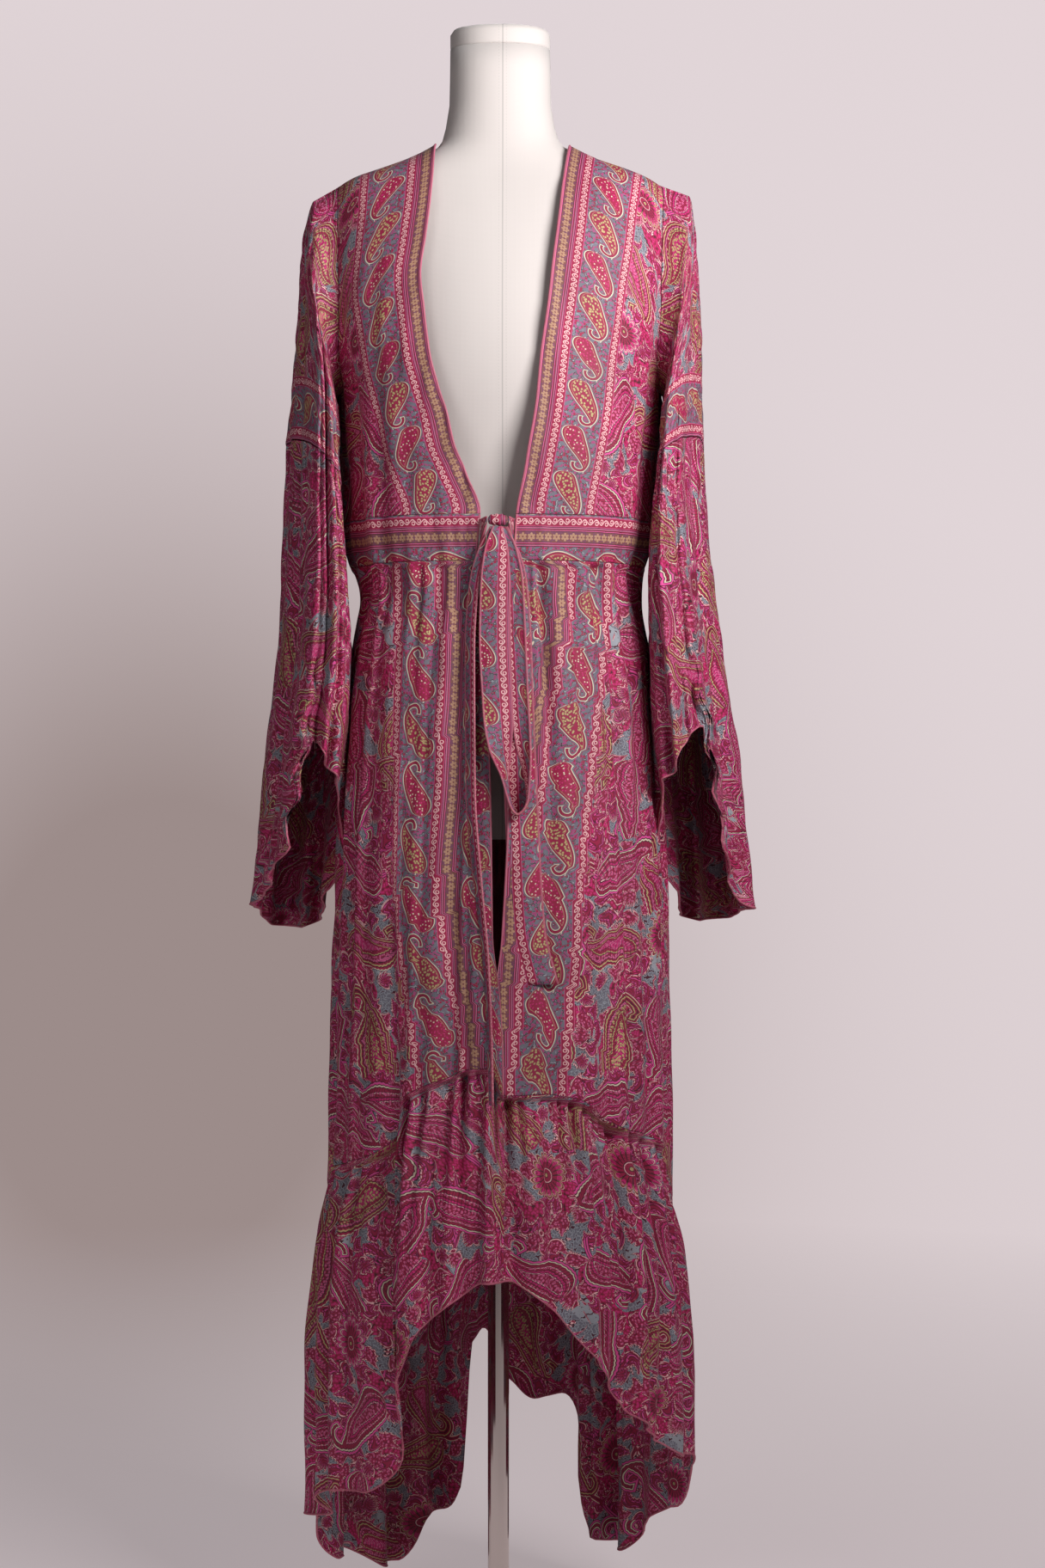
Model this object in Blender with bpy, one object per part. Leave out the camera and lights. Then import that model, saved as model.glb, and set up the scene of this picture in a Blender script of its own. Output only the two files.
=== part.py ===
"""Kimono robe on a dress form stand.

The robe is a long open kimono of thin printed crepe: a deep V neckline with no collar, a waistband
that ties at the front, a gathered skirt with a flounce that is short in front and long at the sides,
and puffed sleeves that end in gathered bells, short in front and long behind.
Units are metres and +Z is up. The origin is under the middle of the base plate, the front of the
robe faces -Y, and left and right are as seen from the front, so +X is right.
"""

import math

import bmesh
import bpy
import numpy as np

# Driving sizes
CLOTH = 0.0014                  # thickness of the cloth wall
SEAM = 0.0004                   # gap between two pieces that are sewn together
SQUARENESS = 2.3                # 2 is an oval section, more is squarer
WAIST_TOP = 1.1890              # upper edge of the waistband
WAIST_BOTTOM = 1.1410           # lower edge of the waistband
UNDERARM = 1.3300               # lowest point of the armhole
SHOULDER_TIP = 1.5555           # highest point of the armhole
SHOULDER_SHARE = 0.28           # share of the back's top edge that is one shoulder seam
NECK_POINT = 1.5920             # where the shoulder seam meets the neckline
BACK_NECK = 1.6100              # top of the back of the neckline
ARMHOLE_SPREAD = math.radians(17.5)
REST_LIFT = 0.0012              # how far the cloth lies above the form's shoulders
REST_OUT = 0.0030               # how far it lies outside them at the sides
REST_FRONT = 0.0034             # and in front, where it hangs clear
REST_BACK = 0.0110              # and behind
FRONT_EASE = 0.0072             # how far it bridges above the form in front of the shoulder seam
BACK_EASE = 0.0120              # and behind it
EASE_SOFTNESS = 0.10            # how gently the two meet over the shoulder seam

POLE_RADIUS = 0.0115
POLE_OFFSET = -0.0020           # the pole stands a little left of the middle
BASE_RADIUS = 0.155
BASE_HEIGHT = 0.010
FORM_BOTTOM = 0.850
NECK_TOP = 1.7000
CAP_TOP = 1.7225
CAP_TILT = math.radians(5)      # the neck plate leans forward

# Segments along each piece
FORM_SIDES = 30
CAP_SIDES = 30
POLE_SIDES = 24
BASE_SIDES = 40
FRONT_COLUMNS = 8
BACK_COLUMNS = 18
ARMHOLE_ROWS = 14
ARMHOLE_CROWDING = 1.3          # above 1, the bodice has more rows near the shoulders
SIDE_ROWS = 4
BAND_COLUMNS = 10
SKIRT_COLUMNS = 22              # the flounce has as many, so that their seam matches
SKIRT_BACK_COLUMNS = 42
SKIRT_ROWS = 8
FLOUNCE_ROWS = 6
SLEEVE_SIDES = 32               # the bell has as many, so that their seam matches
SLEEVE_ROWS = 7
BELL_ROWS = 6
TIE_ROWS = 18
LOOP_ROWS = 40
ROOT_ROWS = 5


class Table:
    """Rows of named columns, read smoothly between the rows by the first column."""

    def __init__(self, columns, *rows):
        self.columns = columns.split()
        self.rows = np.array(rows, float)

    def __call__(self, column, key):
        keys = self.rows[:, 0]
        values = self.rows[:, self.columns.index(column)]
        steps = np.diff(keys)
        rises = np.diff(values) / steps
        slopes = np.zeros(len(keys))
        slopes[0] = rises[0]
        slopes[-1] = rises[-1]
        for k in range(1, len(keys) - 1):
            if rises[k - 1] * rises[k] > 0:
                slopes[k] = 2 * rises[k - 1] * rises[k] / (rises[k - 1] + rises[k])
        at = np.clip(key, keys[0], keys[-1])
        k = np.clip(np.searchsorted(keys, at, side="right") - 1, 0, len(keys) - 2)
        t = (at - keys[k]) / steps[k]
        start = (1 + 2 * t) * (1 - t) ** 2 * values[k]
        leave = t * (1 - t) ** 2 * steps[k] * slopes[k]
        end = t * t * (3 - 2 * t) * values[k + 1]
        arrive = t * t * (t - 1) * steps[k] * slopes[k + 1]
        return start + leave + end + arrive


# The form's sections: half widths and depths from the pole's line.
FORM = Table(
    "height left right front back",
    (0.850, 0.150, 0.150, 0.098, 0.110),
    (0.960, 0.155, 0.155, 0.104, 0.122),
    (1.030, 0.149, 0.149, 0.100, 0.116),
    (1.100, 0.132, 0.132, 0.092, 0.100),
    (1.170, 0.117, 0.117, 0.084, 0.088),
    (1.215, 0.114, 0.114, 0.083, 0.084),
    (1.260, 0.119, 0.119, 0.092, 0.083),
    (1.310, 0.130, 0.130, 0.107, 0.087),
    (1.360, 0.139, 0.139, 0.117, 0.091),
    (1.410, 0.146, 0.146, 0.114, 0.094),
    (1.460, 0.156, 0.156, 0.102, 0.096),
    (1.500, 0.167, 0.167, 0.090, 0.095),
    (1.530, 0.175, 0.175, 0.078, 0.090),
    (1.546, 0.174, 0.174, 0.071, 0.084),
    (1.556, 0.160, 0.161, 0.067, 0.080),
    (1.564, 0.136, 0.142, 0.064, 0.076),
    (1.573, 0.108, 0.113, 0.062, 0.072),
    (1.582, 0.086, 0.091, 0.060, 0.068),
    (1.591, 0.070, 0.073, 0.059, 0.065),
    (1.600, 0.063, 0.064, 0.058, 0.062),
    (1.615, 0.059, 0.059, 0.056, 0.059),
    (1.640, 0.055, 0.055, 0.054, 0.056),
    (1.700, 0.054, 0.054, 0.053, 0.055),
)
FORM_HEIGHTS = (
    0.850, 0.900, 0.960, 1.030, 1.100, 1.160, 1.215, 1.260, 1.310, 1.360, 1.410, 1.460, 1.500,
    1.530, 1.546, 1.556, 1.564, 1.573, 1.582, 1.591, 1.600, 1.615, 1.640, 1.670, 1.700,
)

# The robe's own sections, from the hem to where it comes to lie on the form's shoulders.
ROBE_ROWS = (
    (0.380, 0.183, 0.181, 0.157, 0.158),
    (0.547, 0.180, 0.179, 0.151, 0.153),
    (0.687, 0.176, 0.177, 0.146, 0.150),
    (0.826, 0.172, 0.173, 0.139, 0.147),
    (0.966, 0.164, 0.164, 0.130, 0.140),
    (1.050, 0.154, 0.156, 0.122, 0.129),
    (1.095, 0.150, 0.151, 0.118, 0.118),
    (1.141, 0.163, 0.156, 0.115, 0.110),
    (1.165, 0.168, 0.163, 0.115, 0.108),
    (1.189, 0.169, 0.165, 0.115, 0.107),
    (1.237, 0.169, 0.167, 0.119, 0.107),
    (1.267, 0.171, 0.169, 0.122, 0.109),
    (1.300, 0.172, 0.171, 0.124, 0.111),
    (1.330, 0.173, 0.172, 0.125, 0.112),
    (1.380, 0.180, 0.178, 0.125, 0.111),
    (1.430, 0.185, 0.184, 0.120, 0.109),
    (1.470, 0.187, 0.187, 0.111, 0.107),
    (1.500, 0.187, 0.187, 0.101, 0.104),
    (1.530, 0.183, 0.184, 0.086, 0.097),
)
SHOULDER_START = 1.540


def resting_rows():
    """The form's shoulder sections, lifted and widened to where the cloth lies on them."""
    rows = []
    for height, left, right, front, back in FORM.rows:
        if height > SHOULDER_START:
            spread = (left + REST_OUT, right + REST_OUT, front + REST_FRONT, back + REST_BACK)
            rows.append((height + REST_LIFT, *spread))
    return rows


ROBE = Table("height left right front back", *ROBE_ROWS, *resting_rows())

# The two front edges, as distances from the middle.
FRONT_EDGE = Table(
    "height left right",
    (0.300, -0.0090, -0.0055),
    (0.620, -0.0060, 0.0030),
    (0.750, -0.0070, 0.0070),
    (0.900, -0.0080, 0.0080),
    (1.050, -0.0150, 0.0080),
    (1.141, -0.0230, 0.0140),
    (1.190, -0.0200, 0.0170),
    (1.235, -0.0360, 0.0255),
    (1.260, -0.0460, 0.0295),
    (1.293, -0.0535, 0.0355),
    (1.315, -0.0610, 0.0385),
    (1.362, -0.0725, 0.0430),
    (1.402, -0.0780, 0.0485),
    (1.441, -0.0815, 0.0535),
    (1.482, -0.0765, 0.0585),
    (1.528, -0.0715, 0.0645),
    (1.560, -0.0695, 0.0690),
    (1.592, -0.0685, 0.0740),
)

# Around the robe: the height of the flounce's seam and of its hem, and the depth of its waves.
# The angle runs from -180 at the middle of the back, over the left side, the front and the right.
AROUND = Table(
    "angle seam hem wave",
    (-180, 0.460, 0.235, 0.007),
    (-174, 0.450, 0.285, 0.006),
    (-170, 0.440, 0.270, 0.006),
    (-166, 0.430, 0.110, 0.008),
    (-160, 0.415, 0.080, 0.010),
    (-151, 0.395, 0.075, 0.010),
    (-142, 0.380, 0.026, 0.010),
    (-128, 0.390, 0.030, 0.010),
    (-118, 0.405, 0.056, 0.009),
    (-108, 0.430, 0.054, 0.008),
    (-99, 0.455, 0.085, 0.006),
    (-92, 0.475, 0.118, 0.005),
    (-78, 0.497, 0.128, 0.009),
    (-66, 0.508, 0.165, 0.011),
    (-54, 0.520, 0.170, 0.012),
    (-47, 0.545, 0.205, 0.011),
    (-41, 0.578, 0.268, 0.010),
    (-34, 0.590, 0.296, 0.008),
    (-26, 0.600, 0.350, 0.007),
    (-13, 0.614, 0.370, 0.005),
    (-4, 0.616, 0.379, 0.003),
    (2, 0.588, 0.379, 0.003),
    (16, 0.589, 0.358, 0.005),
    (30, 0.583, 0.310, 0.006),
    (38, 0.568, 0.280, 0.007),
    (47, 0.551, 0.252, 0.007),
    (58, 0.542, 0.225, 0.007),
    (70, 0.528, 0.198, 0.006),
    (84, 0.487, 0.188, 0.005),
    (90, 0.455, 0.170, 0.005),
    (97, 0.430, 0.120, 0.006),
    (108, 0.410, 0.112, 0.008),
    (118, 0.395, 0.085, 0.009),
    (128, 0.385, 0.048, 0.010),
    (140, 0.385, 0.050, 0.010),
    (148, 0.395, 0.085, 0.009),
    (152, 0.405, 0.180, 0.008),
    (158, 0.420, 0.212, 0.008),
    (168, 0.445, 0.207, 0.008),
    (180, 0.460, 0.235, 0.007),
)

# How far the flounce stands out below its seam.
FLARE = Table(
    "drop out",
    (0.000, 0.000),
    (0.006, 0.0004),
    (0.025, 0.005),
    (0.060, 0.012),
    (0.120, 0.018),
    (0.200, 0.022),
    (0.360, 0.023),
)

# The deep soft folds of the skirt and flounce: angle, width, and depth at the waist, thigh, seam and hem.
DEEP_FOLDS = (
    (-20, 4.5, 0.005, 0.011, 0.010, 0.006),
    (-37, 5.0, 0.002, 0.003, 0.005, 0.008),
    (-47, 6.0, 0.003, 0.006, 0.016, 0.030),
    (-60, 5.0, 0.002, 0.003, 0.006, 0.010),
    (-76, 5.0, 0.003, 0.005, 0.007, 0.010),
    (-104, 6.0, 0.003, 0.007, 0.009, 0.012),
    (-126, 6.0, 0.004, 0.009, 0.012, 0.017),
    (-146, 5.5, 0.004, 0.008, 0.011, 0.016),
    (-164, 5.5, 0.004, 0.009, 0.012, 0.016),
    (20, 4.5, 0.003, 0.004, 0.004, 0.004),
    (41, 5.0, 0.002, 0.004, 0.009, 0.011),
    (60, 5.5, 0.003, 0.006, 0.009, 0.011),
    (77, 5.0, 0.003, 0.006, 0.008, 0.010),
    (103, 6.0, 0.003, 0.007, 0.010, 0.013),
    (124, 6.0, 0.004, 0.009, 0.012, 0.017),
    (149, 6.0, 0.004, 0.009, 0.013, 0.020),
    (171, 5.5, 0.004, 0.008, 0.010, 0.013),
)
THIGH = 0.850
WAVES_AROUND = 21               # waves in the flounce's hem

# The troughs where the bodice's fronts turn to its sides: angle, width and depth.
SIDE_FOLDS = ((-71, 7.5, 0.010), (74, 6.5, 0.007))
SIDE_FOLD_LOW = 1.080
SIDE_FOLD_HIGH = 1.420

# The sleeve as seen from the front: its inner and outer outline, the heights of the underarm line and
# of the outer line, half its depth, and how far its front swings in towards the robe.
# Station 0 is the armhole and 1 is the gathered seam.
SLEEVE = {
    "left": Table(
        "station inner inner_height outer outer_height depth swing",
        (0.00, 0.1735, 1.333, 0.1800, 1.5530, 0.052, 0.000),
        (0.06, 0.1765, 1.330, 0.1960, 1.5460, 0.058, 0.000),
        (0.12, 0.1772, 1.325, 0.2040, 1.5310, 0.061, 0.000),
        (0.20, 0.1772, 1.318, 0.2100, 1.5070, 0.064, 0.001),
        (0.30, 0.1768, 1.309, 0.2150, 1.4770, 0.067, 0.005),
        (0.45, 0.1755, 1.294, 0.2205, 1.4230, 0.071, 0.012),
        (0.60, 0.1740, 1.277, 0.2260, 1.3780, 0.075, 0.017),
        (0.80, 0.1710, 1.250, 0.2325, 1.3250, 0.080, 0.022),
        (1.00, 0.1680, 1.222, 0.2385, 1.2790, 0.086, 0.025),
    ),
    "right": Table(
        "station inner inner_height outer outer_height depth swing",
        (0.00, 0.1725, 1.333, 0.1810, 1.5530, 0.052, 0.000),
        (0.06, 0.1755, 1.330, 0.1990, 1.5500, 0.058, 0.000),
        (0.12, 0.1765, 1.325, 0.2055, 1.5370, 0.061, 0.000),
        (0.20, 0.1768, 1.318, 0.2090, 1.5100, 0.064, 0.001),
        (0.30, 0.1768, 1.309, 0.2125, 1.4760, 0.067, 0.005),
        (0.45, 0.1755, 1.294, 0.2180, 1.4210, 0.070, 0.011),
        (0.60, 0.1740, 1.280, 0.2215, 1.3760, 0.074, 0.016),
        (0.80, 0.1700, 1.262, 0.2245, 1.3220, 0.079, 0.020),
        (1.00, 0.1660, 1.243, 0.2265, 1.2820, 0.084, 0.022),
    ),
}
BELL = {
    "left": Table(
        "height inner outer depth swing",
        (0.740, 0.182, 0.2690, 0.114, 0.014),
        (0.850, 0.176, 0.2610, 0.112, 0.018),
        (0.950, 0.166, 0.2540, 0.109, 0.022),
        (1.050, 0.158, 0.2465, 0.103, 0.025),
        (1.130, 0.161, 0.2445, 0.098, 0.028),
        (1.220, 0.167, 0.2420, 0.090, 0.027),
        (1.280, 0.170, 0.2385, 0.086, 0.025),
    ),
    "right": Table(
        "height inner outer depth swing",
        (0.740, 0.182, 0.2670, 0.114, 0.014),
        (0.850, 0.175, 0.2600, 0.112, 0.018),
        (0.950, 0.166, 0.2545, 0.109, 0.021),
        (1.050, 0.159, 0.2445, 0.103, 0.024),
        (1.130, 0.157, 0.2375, 0.098, 0.026),
        (1.220, 0.161, 0.2300, 0.090, 0.025),
        (1.290, 0.166, 0.2260, 0.084, 0.022),
    ),
}
# Around a cuff: 0 is the front, 90 the outside, 180 the back and 270 the side against the robe.
CUFF = {
    "left": Table(
        "angle hem",
        (0, 0.950), (18, 0.952), (36, 0.905), (55, 0.860), (75, 0.800), (92, 0.777),
        (125, 0.770), (160, 0.750), (200, 0.748), (235, 0.762), (262, 0.790), (285, 0.850),
        (305, 0.900), (325, 0.915), (345, 0.930), (360, 0.950),
    ),
    "right": Table(
        "angle hem",
        (0, 0.945), (20, 0.968), (38, 0.972), (55, 0.880), (72, 0.800), (92, 0.773),
        (125, 0.768), (160, 0.758), (200, 0.756), (235, 0.765), (262, 0.800), (285, 0.850),
        (305, 0.890), (325, 0.912), (345, 0.922), (360, 0.945),
    ),
}
# The soft folds that run down the upper sleeve, deepest near the elbow.
SLEEVE_FOLDS = (
    (-42, 16, 0.005),
    (22, 15, 0.004),
    (62, 14, 0.006),
    (128, 16, 0.008),
    (205, 16, 0.008),
)
BELL_WAVES = 8
BELL_WAVE_DEPTH = 0.0055
ARMHOLE_INSET = 0.0012          # the sleeve's edge lies this far inside the armhole's edge
ARMHOLE_GAP = 0.0006            # and this far outside the bodice's outer face
SEAM_STATIONS = 0.0015          # half of the gap between the sleeve and its bell, as stations
CAP_CROWDING = 1.3              # above 1, the sleeve has more rows near the shoulder
CAP_STATION = 0.10              # the sleeve leaves the armhole towards its own shape here

# The ties hang from the knot: width across, swing of the strip about its own length in degrees,
# and how far its middle lies in front of the robe.
KNOT_PLACE = (-0.0015, 1.1815)
KNOT_SIZE = (0.0105, 0.0065, 0.0065)
KNOT_OUT = 0.0135
KNOT_SIDES = 14
KNOT_RINGS = 8
KNOT_ROUNDNESS = 2.6
ROOT_SHARE = 0.80               # share of the waistband's height that a tie's root takes up
ROOT_END = 0.0080               # height of a root at the knot
ROOT_GAP = 0.0007
TIES = {
    "tie_tail_right": Table(
        "drop height x width swing out",
        (0, 1.1745, 0.0040, 0.007, 0, 0.0110),
        (0.5, 1.1650, 0.0040, 0.0075, 0, 0.0112),
        (1, 1.1500, 0.0100, 0.021, 0, 0.0125),
        (2, 1.1200, 0.0140, 0.029, 0, 0.0095),
        (3, 1.0700, 0.0165, 0.033, 0, 0.0060),
        (5, 0.9600, 0.0200, 0.034, 0, 0.0050),
        (7, 0.8600, 0.0240, 0.035, 0, 0.0050),
        (9, 0.7600, 0.0290, 0.037, 0, 0.0050),
        (10, 0.7020, 0.0420, 0.039, 0, 0.0050),
    ),
    "tie_tail_left": Table(
        "drop height x width swing out",
        (0, 1.1745, -0.0070, 0.006, -10, 0.0115),
        (1, 1.1500, -0.0170, 0.011, -20, 0.0135),
        (2, 1.1200, -0.0250, 0.013, -35, 0.0115),
        (3, 1.0500, -0.0300, 0.016, -50, 0.0095),
        (5, 0.9000, -0.0290, 0.016, -50, 0.0095),
        (6, 0.8100, -0.0220, 0.016, -55, 0.0100),
        (7, 0.7300, -0.0140, 0.015, -60, 0.0105),
        (9, 0.6400, -0.0090, 0.012, -65, 0.0125),
        (10, 0.5800, -0.0075, 0.010, -65, 0.0210),
    ),
}
LOOP = Table(
    "turn height x width swing out",
    (0.00, 1.1745, -0.0020, 0.010, 0, 0.0165),
    (0.04, 1.1500, -0.0030, 0.025, 0, 0.0190),
    (0.09, 1.1200, -0.0040, 0.031, 0, 0.0180),
    (0.19, 1.0600, -0.0045, 0.033, 0, 0.0168),
    (0.31, 0.9850, -0.0015, 0.032, 8, 0.0165),
    (0.38, 0.9450, 0.0005, 0.030, 38, 0.0170),
    (0.43, 0.9150, 0.0055, 0.026, 74, 0.0185),
    (0.47, 0.8940, 0.0090, 0.024, 86, 0.0190),
    (0.50, 0.8810, 0.0135, 0.023, 90, 0.0190),
    (0.53, 0.8770, 0.0185, 0.023, 90, 0.0190),
    (0.56, 0.8820, 0.0250, 0.023, 90, 0.0190),
    (0.59, 0.8950, 0.0290, 0.023, 94, 0.0188),
    (0.63, 0.9170, 0.0285, 0.022, 106, 0.0182),
    (0.69, 0.9500, 0.0245, 0.020, 145, 0.0152),
    (0.75, 0.9850, 0.0215, 0.020, 168, 0.0118),
    (0.87, 1.0600, 0.0175, 0.021, 176, 0.0112),
    (0.95, 1.1200, 0.0150, 0.020, 178, 0.0140),
    (0.98, 1.1500, 0.0110, 0.016, 180, 0.0160),
    (1.00, 1.1745, 0.0055, 0.007, 180, 0.0140),
)


def material(name, colour, roughness, metallic=0.0):
    made = bpy.data.materials.new(name)
    made.use_nodes = True
    shader = made.node_tree.nodes["Principled BSDF"]
    shader.inputs["Base Color"].default_value = (*colour, 1)
    shader.inputs["Roughness"].default_value = roughness
    shader.inputs["Metallic"].default_value = metallic
    return made


def clear_scene():
    for item in list(bpy.data.objects):
        bpy.data.objects.remove(item, do_unlink=True)


def add_mesh(name, points, faces, finish):
    """Make one closed object with its faces pointing out."""
    mesh = bpy.data.meshes.new(name)
    mesh.from_pydata([tuple(point) for point in points], [], faces)
    shape = bmesh.new()
    shape.from_mesh(mesh)
    bmesh.ops.recalc_face_normals(shape, faces=shape.faces)
    if shape.calc_volume(signed=True) < 0:
        bmesh.ops.reverse_faces(shape, faces=shape.faces)
    shape.to_mesh(mesh)
    shape.free()
    mesh.materials.append(finish)
    mesh.shade_smooth()
    mesh.set_sharp_from_angle(angle=math.radians(40))
    item = bpy.data.objects.new(name, mesh)
    bpy.context.scene.collection.objects.link(item)
    return item


def normals(place, across, along):
    """Directions square to the surface place(across, along)."""
    step = 1e-4
    run = place(across + step, along) - place(across - step, along)
    rise = place(across, along + step) - place(across, along - step)
    square = np.cross(run, rise)
    return square / np.linalg.norm(square, axis=-1, keepdims=True)


def split(points, a, b, c, d):
    """Two triangles of a quad, along its shorter diagonal, so both faces of a wall bend alike."""
    if np.linalg.norm(points[a] - points[c]) <= np.linalg.norm(points[b] - points[d]):
        return (a, b, c), (a, c, d)
    return (a, b, d), (b, c, d)


def wall(name, finish, place, across, along, closed=False):
    """A cloth wall of even thickness about the middle surface place(across, along)."""
    middle = place(across, along)
    out = normals(place, across, along) * CLOTH / 2
    rows, columns = across.shape
    points = np.concatenate([(middle + out).reshape(-1, 3), (middle - out).reshape(-1, 3)])
    back = rows * columns
    last = columns if closed else columns - 1

    def corner(row, column):
        return row * columns + column % columns

    faces = []
    for row in range(rows - 1):
        for column in range(last):
            a = corner(row, column)
            b = corner(row, column + 1)
            c = corner(row + 1, column + 1)
            d = corner(row + 1, column)
            for triangle in split(points, a, b, c, d):
                faces.append(triangle)
                faces.append(tuple(back + k for k in reversed(triangle)))
    for row in (0, rows - 1):
        for column in range(last):
            a = corner(row, column)
            b = corner(row, column + 1)
            faces.append((a, b, back + b, back + a))
    if not closed:
        for column in (0, columns - 1):
            for row in range(rows - 1):
                a = corner(row, column)
                b = corner(row + 1, column)
                faces.append((a, b, back + b, back + a))
    return add_mesh(name, points, faces, finish)


def solid(name, finish, rings):
    """A solid through closed rings of points, with a flat face at each end."""
    sides = len(rings[0])
    points = np.concatenate(rings)
    faces = [tuple(range(sides))]
    for ring in range(len(rings) - 1):
        for side in range(sides):
            a = ring * sides + side
            b = ring * sides + (side + 1) % sides
            faces.append((a, b, b + sides, a + sides))
    faces.append(tuple(range((len(rings) - 1) * sides, len(rings) * sides)))
    return add_mesh(name, points, faces, finish)


def grid(columns, rows):
    """Even shares across and along, from 0 to 1."""
    return np.meshgrid(np.linspace(0, 1, columns + 1), np.linspace(0, 1, rows + 1))


def smooth_step(value):
    t = np.clip(value, 0, 1)
    return t * t * (3 - 2 * t)


def section_point(table, angle, height, out=0.0):
    """Point at an angle from the front on a squared oval section."""
    side = np.where(np.sin(angle) < 0, table("left", height), table("right", height))
    depth = np.where(np.cos(angle) > 0, table("front", height), table("back", height))
    across = np.abs(np.sin(angle) / side) ** SQUARENESS
    along = np.abs(np.cos(angle) / depth) ** SQUARENESS
    reach = (across + along) ** (-1 / SQUARENESS) + out
    return np.stack([reach * np.sin(angle), -reach * np.cos(angle), height + 0 * reach], axis=-1)


def wrapped(degrees):
    """The same direction, between -180 and 180 degrees."""
    return (degrees + 180) % 360 - 180


def deep_folds(degrees, height, seam, hem):
    """Depth of the soft folds at a place on the skirt or flounce."""
    depth = 0.0
    for angle, width, waist, thigh, at_seam, at_hem in DEEP_FOLDS:
        away = wrapped(degrees - angle) / width
        shape = np.exp(-away * away)
        above = waist + (thigh - waist) * smooth_step((WAIST_BOTTOM - height) / (WAIST_BOTTOM - THIGH))
        below = thigh + (at_seam - thigh) * smooth_step((THIGH - height) / (THIGH - seam))
        under = at_seam + (at_hem - at_seam) * np.clip((seam - height) / (seam - hem), 0, 1)
        size = np.where(height > THIGH, above, np.where(height > seam, below, under))
        depth = depth + size * shape
    return depth * smooth_step((WAIST_TOP - height) / (WAIST_TOP - WAIST_BOTTOM))


def side_folds(degrees, height):
    """Depth of the troughs between the bodice's fronts and its sides."""
    depth = 0.0
    for angle, width, deepest in SIDE_FOLDS:
        away = (degrees - angle) / width
        depth = depth + deepest * np.exp(-away * away)
    above = smooth_step((height - SIDE_FOLD_LOW) / 0.060)
    return depth * above * smooth_step((SIDE_FOLD_HIGH - height) / 0.120)


def flounce_waves(degrees, share, depth):
    """Depth of the flounce's waves, small at the seam and full at the hem."""
    turn = np.radians(degrees)
    phase = WAVES_AROUND * turn + 1.1 * np.sin(2 * turn + 0.6) + 0.9 * np.sin(5 * turn + 2.0)
    unevenness = 1 + 0.35 * np.sin(3 * turn + 1.2)
    return depth * unevenness * (1 - np.cos(phase)) * (0.15 + 0.85 * share)


def robe_point(angle, height):
    """Middle of the robe's cloth at an angle from the front and a height."""
    degrees = wrapped(np.degrees(angle))
    seam = AROUND("seam", degrees)
    hem = AROUND("hem", degrees)
    drop = np.clip(seam - height, 0, None)
    share = np.clip(drop / (seam - hem), 0, 1)
    out = FLARE("out", drop) - deep_folds(degrees, height, seam, hem) - side_folds(degrees, height)
    out = out - flounce_waves(degrees, share, AROUND("wave", degrees)) * smooth_step(drop / 0.03)
    point = section_point(ROBE, angle, height, out)
    ease = smooth_step((height - 1.500) / 0.045)
    bridge = np.where(np.cos(angle) > 0, FRONT_EASE, BACK_EASE)
    point[..., 2] += bridge * (np.hypot(np.cos(angle), EASE_SOFTNESS) - EASE_SOFTNESS) * ease
    return point


def edge_angle(side, height):
    """Angle of a front edge, which has its own distance from the middle at each height."""
    x = FRONT_EDGE(side, height)
    reach = np.clip(np.abs(x) / ROBE(side, height), 0, 1)
    depth = ROBE("front", height) * (1 - reach ** SQUARENESS) ** (1 / SQUARENESS)
    return np.arctan2(x, depth)


def seam_angle(height):
    """Half of a seam's gap as an angle at the side of the robe."""
    return SEAM / 2 / ROBE("right", height)


def outer_edge():
    """Down the armhole and then the side seam: angle away from the side line, and height."""
    share = np.linspace(0, 1, ARMHOLE_ROWS + 1) ** ARMHOLE_CROWDING
    spread, height = armhole(share)
    down = np.linspace(0, 1, SIDE_ROWS + 1)[1:]
    side = UNDERARM + (WAIST_TOP + SEAM / 2 - UNDERARM) * down
    return np.concatenate([spread, 0 * down]), np.concatenate([height, side])


def armhole(share):
    """Angle away from the side line and height, from the shoulder tip to the underarm."""
    middle = (SHOULDER_TIP + UNDERARM) / 2
    half = (SHOULDER_TIP - UNDERARM) / 2
    return ARMHOLE_SPREAD * np.sin(np.pi * share), middle + half * np.cos(np.pi * share)


def patch(left, right, top, bottom, along):
    """Fill four edges, given as points of angle and height. Along says how far down each row is."""
    u = np.linspace(0, 1, len(top[0]))[None, :]
    v = along[:, None]
    filled = []
    for k in (0, 1):
        sides = (1 - u) * left[k][:, None] + u * right[k][:, None]
        ends = (1 - v) * top[k][None, :] + v * bottom[k][None, :]
        upper = (1 - u) * top[k][0] + u * top[k][-1]
        lower = (1 - u) * bottom[k][0] + u * bottom[k][-1]
        filled.append(sides + ends - (1 - v) * upper - v * lower)
    return filled


def bodice_front(side, finish):
    """One front of the bodice, from the neckline to the armhole and side seam."""
    sign = -1 if side == "left" else 1
    spread, down = outer_edge()
    along = (SHOULDER_TIP - down) / (SHOULDER_TIP - down[-1])
    neck = NECK_POINT + (down[-1] - NECK_POINT) * along
    shoulder = np.linspace(NECK_POINT, SHOULDER_TIP, FRONT_COLUMNS + 1)
    beside = np.pi / 2 - seam_angle(shoulder)
    neckline = edge_angle(side, neck)
    neckline[0] = sign * beside[0]
    outside = sign * (np.pi / 2 - spread - seam_angle(down))
    waist = np.linspace(neckline[-1], outside[-1], FRONT_COLUMNS + 1)
    angle, height = patch(
        (neckline, neck),
        (outside, down),
        (sign * beside, shoulder),
        (waist, 0 * waist + down[-1]),
        along,
    )
    wall(f"bodice_front_{side}", finish, robe_point, angle, height)


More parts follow.
